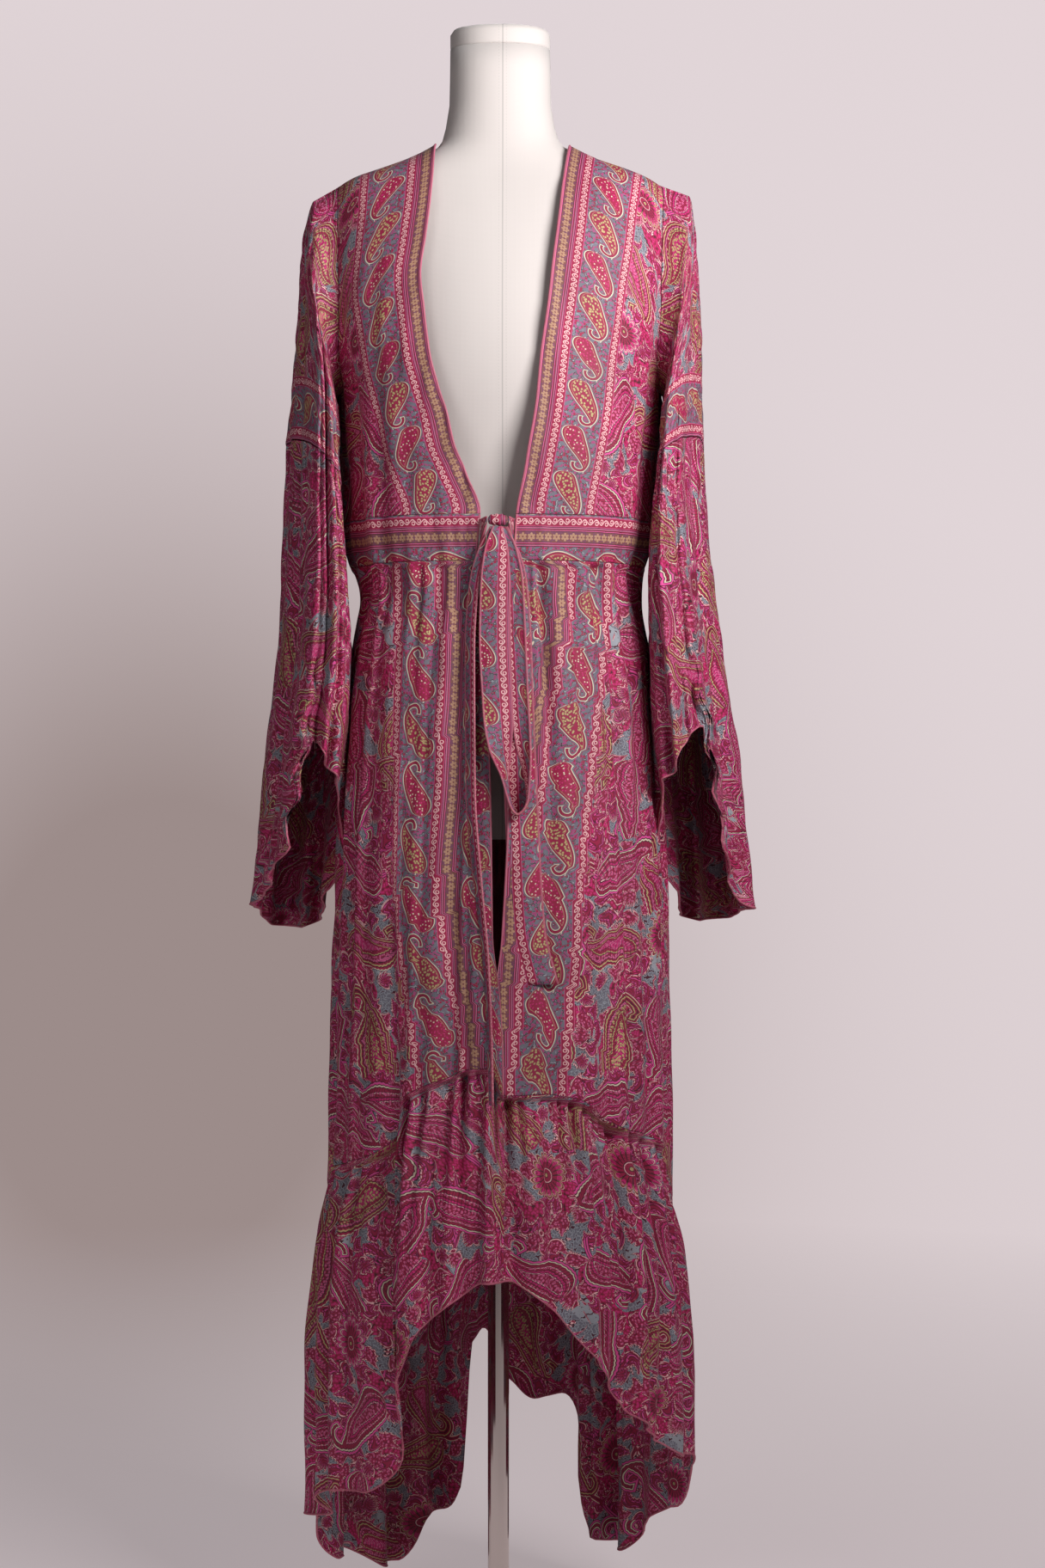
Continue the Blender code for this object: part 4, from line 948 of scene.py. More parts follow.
def root_point(side, across, along):
    """Middle of a tie's root, which draws the end of the waistband together to the knot."""
    sign = SIGNS[side]
    x, height = KNOT_PLACE
    tall = (WAIST_TOP - WAIST_BOTTOM) * ROOT_SHARE
    band = (WAIST_TOP + WAIST_BOTTOM) / 2
    start = FRONT_EDGE(side, band + tall * (across - 0.5)) - sign * 2 * SEAM
    end = x + sign * (KNOT_SIZE[0] + ROOT_GAP)
    x = start + (end - start) * along
    z = band + (height - band) * along + (tall * (1 - along) + ROOT_END * along) * (across - 0.5)
    return np.stack([x, -front_depth(x, z) - KNOT_OUT * smooth_step(along), z], axis=-1)


def shares(length, pitch, first, last):
    """Shares of a length, a pitch apart and closer together by a hem or a seam."""
    near = EDGE_STEPS[first]
    far = EDGE_STEPS[last]
    count = max(2, round((length - near[-1] - far[-1]) / pitch))
    inner = np.linspace(near[-1], length - far[-1], count + 1)[1:-1]
    return np.array([0, *near, *inner, *(length - step for step in reversed(far)), length]) / length


def arc(points, axis):
    """Distance along the cloth from its first row or column."""
    steps = np.linalg.norm(np.diff(points, axis=axis), axis=-1)
    start = np.zeros_like(np.take(steps, [0], axis=axis))
    return np.concatenate([start, np.cumsum(steps, axis=axis)], axis=axis)


def edge_distance(across, down, names):
    """Distance to the nearest of the named edges of a piece."""
    known = {
        "left": across,
        "right": across[:, -1:] - across,
        "top": down,
        "bottom": down[-1:] - down,
    }
    return np.min([known[name] for name in names] or [0 * across + FAR_AWAY], axis=0)


def thickness(hem):
    """The cloth is thin, and is rolled to a small round cord along its hems."""
    roll = 2 * HEM_ROLL * np.sqrt(np.clip(1 - (hem / HEM_ROLL - 1) ** 2, 0.02, 1))
    return np.where(hem < HEM_ROLL, roll, np.where(hem < 2 * HEM_ROLL, np.maximum(roll, CLOTH), CLOTH))


def grid_quads(rows, columns):
    """Row and column of the four corners of each quad of a grid."""
    row, column = np.meshgrid(np.arange(rows - 1), np.arange(columns - 1), indexing="ij")
    spots = [(row, column), (row, column + 1), (row + 1, column + 1), (row + 1, column)]
    return np.stack([np.stack(spot, axis=-1) for spot in spots], axis=2).reshape(-1, 4, 2)


def rim_steps(rows, columns, closed):
    """Row and column of both ends of each step along the open edges of a grid."""
    c = np.arange(columns - 1)
    r = np.arange(rows - 1)
    steps = [((0 * c + k, c), (0 * c + k, c + 1)) for k in (0, rows - 1)]
    if not closed:
        steps += [((r, 0 * r + k), (r + 1, 0 * r + k)) for k in (0, columns - 1)]
    ends = [np.stack([np.stack(a, axis=-1), np.stack(b, axis=-1)], axis=1) for a, b in steps]
    return np.concatenate(ends)


def placed(name, data):
    """A new object in the scene."""
    item = bpy.data.objects.new(name, data)
    bpy.context.scene.collection.objects.link(item)
    return item


def finished(name, mesh, nodes, slot):
    """Turn a mesh's faces out, and make it a piece that stands for its nodes."""
    shape = bmesh.new()
    shape.from_mesh(mesh)
    bmesh.ops.recalc_face_normals(shape, faces=shape.faces)
    if shape.calc_volume(signed=True) < 0:
        bmesh.ops.reverse_faces(shape, faces=shape.faces)
    shape.to_mesh(mesh)
    shape.free()
    mesh.materials.append(FINISHES[slot])
    mesh.shade_smooth()
    piece = placed(name, mesh)
    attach(piece, "root")
    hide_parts(*nodes)
    return piece


def add_map(mesh, title, pair):
    """A UV map with the two coordinates of each face corner."""
    values = np.stack(pair, axis=-1).astype(np.float32)
    mesh.uv_layers.new(name=title).uv.foreach_set("vector", values.ravel())


def sewn(node, place, first, second, lay, hems=(), seams=(), closed=False):
    """A closed thin shell about the surface place(first, second), with the print laid on it."""
    middle = place(first, second)
    across = arc(middle, 1)
    down = arc(middle, 0)
    hem = edge_distance(across, down, hems)
    seam = edge_distance(across, down, seams)
    # The flounce's front edges are turned in and keep the print.
    rolled = edge_distance(across, down, ["bottom"]) if node.startswith("flounce") else hem
    half = normals(place, first, second) * thickness(hem)[..., None] / 2
    rows, columns = first.shape
    kept = columns - 1 if closed else columns
    points = [(middle + half)[:, :kept].reshape(-1, 3), (middle - half)[:, :kept].reshape(-1, 3)]
    quads = grid_quads(rows, columns)
    steps = rim_steps(rows, columns, closed)
    rims = np.stack([steps[:, 0], steps[:, 1], steps[:, 1], steps[:, 0]], axis=1)
    back = rows * kept
    quad_faces = quads[..., 0] * kept + quads[..., 1] % kept
    rim_faces = rims[..., 0] * kept + rims[..., 1] % kept + np.array([0, 0, back, back])
    faces = np.concatenate([quad_faces, quad_faces[:, ::-1] + back, rim_faces])
    row, column = np.concatenate([quads, quads[:, ::-1], rims]).reshape(-1, 2).T
    mesh = bpy.data.meshes.new(f"{node}_cloth")
    mesh.from_pydata(np.concatenate(points), [], faces)
    cloth, border = lay(across, down, middle)
    for title, pair in (("Cloth", cloth), ("Border", border), ("Edges", (rolled, seam))):
        add_map(mesh, title, [value[row, column] for value in pair])
    piece = finished(f"{node}_cloth", mesh, [node], "printed_crepe")
    wraps = [bpy.data.objects["tie_knot_cloth"]] if node == "tie_loop" else []
    return piece


def patch(left, right, top, bottom, across, along):
    """Fill four edges, given as points of angle and height."""
    u = across[None, :]
    v = along[:, None]
    filled = []
    for k in (0, 1):
        sides = (1 - u) * left[k][:, None] + u * right[k][:, None]
        ends = (1 - v) * top[k][None, :] + v * bottom[k][None, :]
        upper = (1 - u) * top[k][0] + u * top[k][-1]
        lower = (1 - u) * bottom[k][0] + u * bottom[k][-1]
        filled.append(sides + ends - (1 - v) * upper - v * lower)
    return filled


def outer_edge():
    """Down the armhole and then the side seam: angle from the side line, height and share of the way."""
    rows = np.linspace(0, 1, ARMHOLE_ROWS + 1) ** ARMHOLE_CROWDING
    spread, height = armhole_edge(np.pi / 2 - np.pi * rows)
    low = WAIST_TOP + SEAM / 2
    side = UNDERARM + (low - UNDERARM) * shares(UNDERARM - low, PITCH, "plain", "seam")[1:]
    down = np.concatenate([height, side])
    return np.concatenate([spread, 0 * side]), down, (SHOULDER_TIP - down) / (SHOULDER_TIP - low)


def bodice_front(side):
    """One front of the bodice, from the neckline to the armhole and side seam."""
    sign = SIGNS[side]
    spread, down, along = outer_edge()
    across = shares(FRONT_WIDTH, PITCH, "hem", "seam")
    neck = NECK_POINT + (down[-1] - NECK_POINT) * along
    shoulder = NECK_POINT + (SHOULDER_TIP - NECK_POINT) * across
    beside = sign * (np.pi / 2 - seam_angle(shoulder))
    neckline = edge_angle(side, neck)
    neckline[0] = beside[0]
    outside = sign * (np.pi / 2 - spread - seam_angle(down))
    waist = neckline[-1] + (outside[-1] - neckline[-1]) * across
    edges = ((neckline, neck), (outside, down), (beside, shoulder), (waist, 0 * waist + down[-1]))
    angle, height = patch(*edges, across, along)
    sewn(f"bodice_front_{side}", robe_point, angle, height, neck_print, ["left"], ["right", "bottom", "top"])


def bodice_back():
    """The back of the bodice in one piece, up to the back of the neck."""
    spread, down, along = outer_edge()
    outside = np.pi / 2 + spread + seam_angle(down)
    across = shares(BACK_WIDTH, PITCH, "seam", "seam")
    near = np.minimum(across, 1 - across)
    seam = np.clip(near / SHOULDER_SHARE, 0, 1)
    neck = np.clip((near - SHOULDER_SHARE) / (0.5 - SHOULDER_SHARE), 0, 1)
    top = SHOULDER_TIP + (NECK_POINT - SHOULDER_TIP) * seam
    top = top + (BACK_NECK - NECK_POINT) * smooth_step(NECK_RISE * neck)
    around = np.pi / 2 + seam_angle(top) + (np.pi / 2 - seam_angle(top)) * neck
    around = np.where(across < 0.5, around, 2 * np.pi - around)
    waist = outside[-1] + (2 * np.pi - 2 * outside[-1]) * across
    edges = ((outside, down), (2 * np.pi - outside, down), (around, top), (waist, 0 * waist + down[-1]))
    angle, height = patch(*edges, across, along)
    sewn("bodice_back", robe_point, angle, height, field_only("bodice_back"), [], ["left", "right", "bottom"])


def around_band(side):
    """Where a lower piece starts and ends around the robe, as functions of height."""
    if side == "left":
        return lambda z: -np.pi / 2 + seam_angle(z), lambda z: edge_angle("left", z)
    if side == "right":
        return lambda z: edge_angle("right", z), lambda z: np.pi / 2 - seam_angle(z)
    return lambda z: np.pi / 2 + seam_angle(z), lambda z: 3 * np.pi / 2 - seam_angle(z)


def row_edges(row, degrees):
    """Heights of the upper and lower edge of a row of lower pieces."""
    seam = AROUND("seam", degrees)
    return {
        "waistband": (WAIST_TOP - SEAM / 2 + 0 * seam, WAIST_BOTTOM + SEAM / 2 + 0 * seam),
        "skirt": (WAIST_BOTTOM - SEAM / 2 + 0 * seam, seam + SEAM / 2),
        "flounce": (seam - SEAM / 2, AROUND("hem", degrees)),
    }[row]


def lower_piece(row, side, lay):
    """A front or back piece of the waistband, skirt or flounce."""
    start, end = around_band(side)
    last = "hem" if row == "flounce" else "seam"
    edges = {"left": ("seam", "hem"), "right": ("hem", "seam"), "back": ("seam", "seam")}[side]
    wide = LOWER_WIDTHS[row] * (2 if side == "back" else 1)
    u, v = np.meshgrid(shares(wide, PITCH, *edges), shares(LOWER_LENGTHS[row], PITCH, "seam", last))
    height = np.full(u.shape, sum(row_edges(row, 0.0)) / 2)
    for _ in range(4):
        angle = start(height) + (end(height) - start(height)) * u
        top, bottom = row_edges(row, wrapped(np.degrees(angle)))
        height = top + (bottom - top) * v
    kinds = dict(zip(("left", "right", "top", "bottom"), (*edges, "seam", last)))
    hems = [name for name in kinds if kinds[name] == "hem"]
    seams = [name for name in kinds if kinds[name] == "seam"]
    node = f"{row}_{side}" if row == "waistband" or side == "back" else f"{row}_front_{side}"
    sewn(node, lapping_point if side == "left" else robe_point, angle, height, lay, hems, seams)


class Value:
    """A number, colour or place that changes over a surface, worked out by nodes of the open tree."""

    tree = None

    def __init__(self, socket):
        self.socket = socket

    def math(self, operation, *others, clamp=False):
        node = Value.tree.nodes.new("ShaderNodeMath")
        node.operation = operation
        node.use_clamp = clamp
        for socket, item in zip(node.inputs, (self, *others)):
            feed(socket, item)
        return Value(node.outputs[0])

    def __add__(self, other):
        return self.math("ADD", other)

    def __sub__(self, other):
        return self.math("SUBTRACT", other)

    def __mul__(self, other):
        return self.math("MULTIPLY", other)

    def __truediv__(self, other):
        return self.math("DIVIDE", other)

    def __abs__(self):
        return self.math("ABSOLUTE")

    def __gt__(self, other):
        return self.math("GREATER_THAN", other)

    def __lt__(self, other):
        return self.math("LESS_THAN", other)

    def sin(self):
        return self.math("SINE")

    def clipped(self):
        """The value kept between 0 and 1."""
        return self.math("MAXIMUM", 0).math("MINIMUM", 1)

    def near(self, middle, reach):
        """1 within a distance of a number, and 0 elsewhere."""
        return self.math("COMPARE", middle, reach)

    def folded(self, period):
        """Distance from the middle of a repeat, between minus and plus half a period."""
        return self.math("WRAP", period / 2, -period / 2)


def feed(socket, item):
    """Set a socket to a number or a colour, or link it to a value."""
    if isinstance(item, Value):
        Value.tree.links.new(item.socket, socket)
    else:
        socket.default_value = item


def add_node(kind, inputs=None, **settings):
    """A node with its settings and inputs."""
    node = Value.tree.nodes.new(kind)
    for key, value in settings.items():
        setattr(node, key, value)
    for key, item in (inputs or {}).items():
        feed(node.inputs[key], item)
    return node


def output(node, name=0):
    return Value(node.outputs[name])


def linear(colour):
    """A display colour in 0 to 255, as linear light with full alpha."""
    light = [c / 255 / 12.92 if c < 11 else ((c / 255 + 0.055) / 1.055) ** 2.4 for c in colour]
    return (*light, 1.0)


def ramp(value, low, high, bands):
    """Colour and cover of nested bands between two values."""
    node = add_node("ShaderNodeMapRange", {"Value": value, "From Min": low, "From Max": high})
    node = add_node("ShaderNodeValToRGB", {"Fac": output(node, "Result")})
    node.color_ramp.interpolation = "CONSTANT"
    elements = node.color_ramp.elements
    while len(elements) > 1:
        elements.remove(elements[-1])
    for k, band in enumerate(bands.split(", ")):
        name, start = band.split()
        place = (float(start) - low) / (high - low)
        element = elements[0] if k == 0 else elements.new(place)
        element.position = place
        element.color = (0, 0, 0, 0) if name == "clear" else linear(INKS[name])
    return output(node, "Color"), output(node, "Alpha")


def over(cover, top, under):
    """A colour laid over another where the cover is 1."""
    node = add_node("ShaderNodeMix", data_type="RGBA")
    colours = [socket for socket in node.inputs if socket.type == "RGBA"]
    feed(node.inputs[0], cover)
    for socket, ink in zip(colours, (under, top)):
        feed(socket, linear(INKS[ink]) if isinstance(ink, str) else ink)
    return Value(next(socket for socket in node.outputs if socket.type == "RGBA"))


def cells(place, size, randomness):
    """Uneven cells of about one size: distance and place from a cell's own point, and random values."""
    node = add_node(
        "ShaderNodeTexVoronoi",
        {"Vector": place, "Scale": 1 / size, "Randomness": randomness},
        voronoi_dimensions="2D",
    )
    away = add_node("ShaderNodeVectorMath", {0: place, 1: output(node, "Position")}, operation="SUBTRACT")
    return output(node, "Distance"), output(away), output(node, "Color")


def parts(vector):
    return [Value(socket) for socket in add_node("ShaderNodeSeparateXYZ", {"Vector": vector}).outputs]


def noise(place, size, detail=1.0, name="Fac"):
    inputs = {"Vector": place, "Scale": 1 / size, "Detail": detail}
    return output(add_node("ShaderNodeTexNoise", inputs, noise_dimensions="2D"), name)


def turned(vector, angle):
    inputs = {"Vector": vector, "Angle": angle}
    return output(add_node("ShaderNodeVectorRotate", inputs, rotation_type="Z_AXIS"))


def scaled(vector, factor):
    """A place or colour times a number."""
    return output(add_node("ShaderNodeVectorMath", {0: vector, "Scale": factor}, operation="SCALE"))


def millimetres(title):
    """A UV map's two coordinates, in millimetres."""
    return scaled(output(add_node("ShaderNodeUVMap", uv_map=title), "UV"), 1000.0)


def own_place():
    """The place on an object, in its own metres."""
    return output(add_node("ShaderNodeTexCoord"), "Object")


def bump(height, strength, distance):
    """The direction of a surface with fine relief."""
    return output(add_node("ShaderNodeBump", {"Strength": strength, "Distance": distance, "Height": height}))


def mixed(share, first, second):
    """Two shaders mixed."""
    return output(add_node("ShaderNodeMixShader", {0: share, 1: first, 2: second}))


def new_material(name):
    """A new material, whose tree is opened, and its shader."""
    made = bpy.data.materials.new(name)
    made.use_nodes = True
    Value.tree = made.node_tree
    return made, Value.tree.nodes["Principled BSDF"]


def span(x, y):
    """Distance from the middle of a motif."""
    return (x * x + y * y).math("SQRT")


def drop(x, y):
    """Distance outside a curled drop, 61 by 40 mm with its head at +y, and the share from head to tail."""
    share = (y * -1 + DROP_HEAD).math("DIVIDE", DROP_LENGTH, clamp=True)
    middle = (y * DROP_SWAY).sin() * DROP_SWING - DROP_ASIDE
    swell = share.math("POWER", 0.4) * (share * -1 + 1) * DROP_FULLNESS
    body = (abs(x - middle) - swell) * DROP_SLOPE
    aside, below = HOOK_PLACE
    hook = abs(span(x + aside, y + below) - HOOK_RADIUS) - HOOK_HALF
    return body.math("MINIMUM", hook.math("MAXIMUM", y + HOOK_START)), share


def flower(x, y, petals, core, reach):
    """Distance outside a flower, the stripes of its petals, and the distance from its middle."""
    away = span(x, y)
    stripes = (x.math("ARCTAN2", y) * (petals / 2)).sin()
    return away - abs(stripes).math("POWER", 0.6) * reach - core, stripes, away


def scattered(place, size, randomness, flow=None):
    """A place turned in each cell of an uneven scatter, by chance or along a flow, and two random values."""
    _, local, chance = cells(place, size, randomness)
    red, green, blue = parts(chance)
    x, y, _ = parts(turned(local, red * 6.28 if flow is None else flow))
    return x, y, green, blue


# In the prints, tint and choice are random values from 0 to 1, and speck is the distance from the middle
# of a small uneven cell, as a share of its size. Comparing them picks a share of the motifs or cloth.
# The other distances are millimetres outside a motif's edge.


def field_print(place, waves, speck):
    """Large curled drops and daisies over leaves and small flowers, on speckled grey blue and cream."""
    _, shift, cloudy = parts(waves)
    ground = over(cloudy > 0.69, "mist", "slate")
    ground = over(speck.near(0.5, 0.08), "mist", ground)
    ground = over(shift > 0.5, over(speck < 0.36, "magenta", "crimson"), ground)
    colour = over(speck > 0.72, "wine", ground)

    # Leaves along the flow of the slow waves, and small flowers
    x, y, choice, tint = scattered(place, SMALL_CELL, 0.8, shift * FLOW_TURN)
    choice = choice > 0.25
    leaf = abs(x + y * y * LEAF_BOW - LEAF_ASIDE) - (y * y * -LEAF_TAPER + LEAF_HALF)
    bud, _, _ = flower(x, y, *BUD)
    small = leaf * choice + bud * (choice * -1 + 1)
    vein = ((abs(x) * 0.9 + y * 1.3).sin() > 0.5) * -1.3
    inks, cover = ramp(small + vein, -12, 2, SMALL_BANDS)
    inks = over((tint > 0.62) * (small < -1.6), over(speck < 0.34, "rose", "crimson"), inks)
    inks = over(((x * 2.2 + y * 0.3).sin() > 0.45) * (small < -1.2) * 0.55, "wine", inks)
    colour = over(cover, inks, colour)

    # Large drops and daisies
    x, y, choice, tint = scattered(place, LARGE_CELL, 0.5)
    choice = choice > 0.12
    other = choice * -1 + 1
    shape, share = drop(x / DROP_GROWTH, y / DROP_GROWTH)
    daisy, stripes, away = flower(x, y, *DAISY)
    motif = shape * DROP_GROWTH * choice + daisy * other
    lace = (share * 110).sin() * choice * 0.25
    first, cover = ramp(motif + lace, -20, 5, LARGE_BANDS)
    second, _ = ramp(motif - lace, -20, 5, OTHER_BANDS)
    inks = over(tint > 0.55, second, first)
    core, _ = ramp(away, 0, 26, DAISY_BANDS)
    core = over((abs(stripes) < 0.45) * (away > 8), "wine", core)
    inks = over(other * (motif < -1.4), core, inks)
    beads = motif.near(-6.4, 1.4).math("MAXIMUM", motif < -12.0) * (speck < 0.40)
    inks = over(choice * beads, over(tint > 0.75, "gold", "rose"), inks)
    hatch = ((motif * 1.2 + share * 190).sin() > 0.55) * (motif < -1.4)
    inks = over(hatch * 0.6, "wine", inks)
    return over(cover, inks, colour)


def scroll(across, along):
    """A cream vine with curls on crimson, between two pink lines."""
    wave = (along * (6.283 / SCROLL_REPEAT)).sin()
    vine = abs(across - wave * VINE_SWING) < 0.65
    side = (wave > 0) * 2 - 1
    step = (along + SCROLL_REPEAT / 4).folded(SCROLL_REPEAT / 2)
    curl = span(step - 0.6, across + side * 1.3)
    lines = vine.math("MAXIMUM", curl.near(CURL_RADIUS, 0.5) * (step > -1.2))
    return over(abs(across) > 4.9, "rose", over(lines, "blush", "crimson"))


def drop_row(across, along, speck, tint):
    """Curled drops on grey blue, crimson and gold in turn, among small violet flowers."""
    gold = abs(((along / ROW_REPEAT).math("ROUND") * 0.5).math("FRACT")) > 0.25
    shape, share = drop(across * 1.1 - 1, along.folded(ROW_REPEAT) * 1.1)
    flowers = (across * 0.42 + (along * 0.31).sin() * 1.4).sin() * (along * 0.47 + across * 0.2).sin() > -0.25
    ground = over(flowers * (speck < 0.42), over(tint > 0.4, "orchid", "crimson"), "slate")
    ground = over(flowers * speck.near(0.62, 0.07), "wine", ground)
    ground = over((speck > 0.74) * (tint < 0.6), "mist", ground)
    inks, cover = ramp(shape, -16, 5, ROW_BANDS)
    inside = shape < -3.4
    ink = over(gold, "gold", over(tint > 0.6, "cream", "magenta"))
    inks = over(inside * (speck < gold * 0.07 + 0.25), ink, inks)
    inks = over(inside * gold * speck.near(0.38, 0.06), "olive", inks)
    return over(cover, inks, ground)


def gold_strip(across, along, speck):
    """A row of small gold flowers between thin pink and grey lines."""
    shape, _, away = flower(across, along.folded(GOLD_REPEAT), *GOLD_FLOWER)
    colour = over(speck < 0.42, "olive", "plum")
    colour = over(shape < 0, "sand", colour)
    colour = over(away < 1.0, "olive", colour)
    lines, cover = ramp(abs(across), 0, 12, LINE_BANDS)
    return over(cover, lines, colour)


def from_middle(across, middles, limits):
    """Distance from the middle of a stripe, of which the next one starts at each limit."""
    middle = middles[0]
    for limit, step in zip(limits, np.diff(middles)):
        middle = (across > limit) * float(step) + middle
    return across - middle


def printed_cloth():
    """The robe's crepe, with its border and field prints, painted shade along its seams, rolled hems and fine
    crinkle.
    """
    made, shader = new_material("printed_crepe")
    cloth = millimetres("Cloth")
    waves = noise(cloth, WAVE_CELL, 0.5, "Color")
    bend = {0: waves, 1: (BEND, BEND, 0), 2: cloth}
    bent = output(add_node("ShaderNodeVectorMath", bend, operation="MULTIPLY_ADD"))
    speck, _, chance = cells(cloth, SPECK_CELL, 1.0)
    tint, _, _ = parts(chance)
    across, along, _ = parts(millimetres("Border"))
    hem, seam, _ = parts(millimetres("Edges"))
    colour = field_print(bent, waves, speck)
    row = from_middle(across, ROWS, ROW_LIMITS)
    colour = over(across > 0, drop_row(row, along, speck, tint), colour)
    strip = from_middle(across, GOLDS, GOLD_LIMITS)
    colour = over(abs(strip) < GOLD_HALF, gold_strip(strip, along, speck), colour)
    stripe = from_middle(across, SCROLLS, SCROLL_LIMITS)
    colour = over(abs(stripe) < SCROLL_HALF, scroll(stripe, along), colour)
    colour = over((hem < HEM_LINE) * 0.8, "hem", colour)
    # painted shade: a thin dark wine line along each seam, where the sewn pieces meet
    colour = over((seam < PAINTED_SEAM_SHADE) * 0.35, "wine", colour)
    fade, _, _ = parts(waves)
    feed(shader.inputs["Base Color"], scaled(colour, fade * 0.4 + 0.8))
    feed(shader.inputs["Normal"], bump(noise(cloth, CRINKLE, 2.0), 0.5, 0.0006))
    feed(shader.inputs["Roughness"], fade * 0.2 + 0.6)
    shader.inputs["Sheen Weight"].default_value = 0.06
    shader.inputs["Sheen Roughness"].default_value = 0.4
    return made


def linen():
    """The form's plain woven cover, with a stitched seam down its front."""
    made, shader = new_material("form_linen")
    place = own_place()
    x, y, z = parts(place)
    beside = abs(x - FORM_SEAM)
    stitches = (abs(beside - STITCH_OUT) < STITCH_HALF) * ((z * STITCH_TURNS).sin() > 0)
    mark = ((beside < FORM_SEAM_HALF) + stitches * 0.4) * (y < 0)
    weave = (x * WEAVE_TURNS).sin() * 0.5 + (z * WEAVE_TURNS).sin() * 0.5
    shade = noise(place, 0.05, 2.0) * 0.06 + 0.97 - mark * 0.25
    feed(shader.inputs["Base Color"], scaled(linear(LINEN)[:3], shade))
    feed(shader.inputs["Normal"], bump(weave * 0.3 - mark * 2, 0.3, 0.0004))
    shader.inputs["Roughness"].default_value = 0.85
    shader.inputs["Sheen Weight"].default_value = 0.4
    return made


def chrome():
    """Polished chrome with faint wiping marks."""
    made, shader = new_material("chrome")
    place = own_place()
    feed(shader.inputs["Roughness"], noise(place, 0.02, 3.0) * 0.14 + 0.06)
    feed(shader.inputs["Base Color"], scaled(linear(CHROME)[:3], noise(place, 0.3) * 0.1 + 0.92))
    shader.inputs["Metallic"].default_value = 1.0
    return made


def neck_print(across, down, middle):
    """The border down the neckline."""
    return (across, down), (NECK_BORDER - across, down * -BODICE_REPEAT)


def waistband_print(across, down, middle):
    return (across, down), (BAND_BORDER + down, across)


def sleeve_print(across, down, middle):
    above_seam = down[-1:] - down
    return (across, down), (SLEEVE_BORDER - above_seam, across)


def field_only(name):
    """The field print alone."""
    shift = FIELD_SHIFTS[name]

    def lay(across, down, middle):
        return (across + shift, down + shift), (0 * across - FAR_AWAY, down)
    return lay


def level_print(name):
    """The field print laid level, whichever way the piece's seam and hem run."""
    shift = FIELD_SHIFTS[name]

    def lay(across, down, middle):
        around = arc(middle[..., :2], 1)
        return (around + shift, shift - middle[..., 2]), (0 * across - FAR_AWAY, down)
    return lay


def skirt_print(side):
    """The border down a skirt's front edge, and the field beyond it."""
    sign = SIGNS[side]

    def lay(across, down, middle):
        from_edge = across[:, -1:] - across if side == "left" else across
        outside = sign * middle[..., 0] > sign * FIELD_LINE(side, middle[..., 2])
        first = np.argmax(outside if side == "right" else ~outside, axis=1)
        start = from_edge[np.arange(len(first)), first][:, None]
        border = start - from_edge
        return (SKIRT_SHIFT - border, down), (border, down * -sign)
    return lay


def strip_print(sign):
    """A tie shows half a row of drops beside a scroll stripe."""
    def lay(across, down, middle):
        wide = across[:, -1:]
        return (across, down), (TIE_BORDER + sign * (across - wide / 2), down)
    return lay


def lower_robe():
    """The waistband, skirt and flounce: two fronts and a back each."""
    for side in ("left", "right", "back"):
        lower_piece("waistband", side, waistband_print)
        lower_piece("skirt", side, skirt_print(side) if side != "back" else level_print("skirt_back"))
        lower_piece("flounce", side, level_print(f"flounce_{side}"))


def sleeves():
    """Each sleeve is an upper tube with a puffed cap, and a bell gathered onto it."""
    turns = np.linspace(-np.pi / 2, 3 * np.pi / 2, SLEEVE_COLUMNS + 1)
    upper = (1 - SEAM_STATIONS) * shares(SLEEVE_LENGTH, PITCH, "seam", "seam")
    bell = 1 + SEAM_STATIONS + (1 - SEAM_STATIONS) * shares(BELL_LENGTH, PITCH, "seam", "hem")
    for side in SIGNS:
        place = functools.partial(sleeve_point, side)
        sewn(f"sleeve_{side}", place, *np.meshgrid(turns, upper), sleeve_print, [], ["top", "bottom"], True)
        lay = level_print(f"bell_{side}")
        sewn(f"sleeve_bell_{side}", place, *np.meshgrid(turns, bell), lay, ["bottom"], ["top"], True)


def ties():
    """The loop and the two tails of the bow, and the two roots that the waistband draws to the knot."""
    for name, path in TIES.items():
        along = np.linspace(0, path.rows[-1, 0], TIE_ROWS[name] + 1)
        across, along = np.meshgrid(shares(TIE_WIDTH, PITCH, "hem", "hem"), along)
        sign = -1 if name == "tie_tail_right" else 1
        sewn(name, functools.partial(strip_point, name), across, along, strip_print(sign), ["left", "right"])
    for side in SIGNS:
        across = shares(ROOT_WIDTH, ROOT_PITCH, "hem", "hem")
        across, along = np.meshgrid(across, np.linspace(0, 1, ROOT_ROWS))
        place = functools.partial(root_point, side)
        sewn(f"tie_root_{side}", place, across, along, strip_print(1), ["left", "right"])


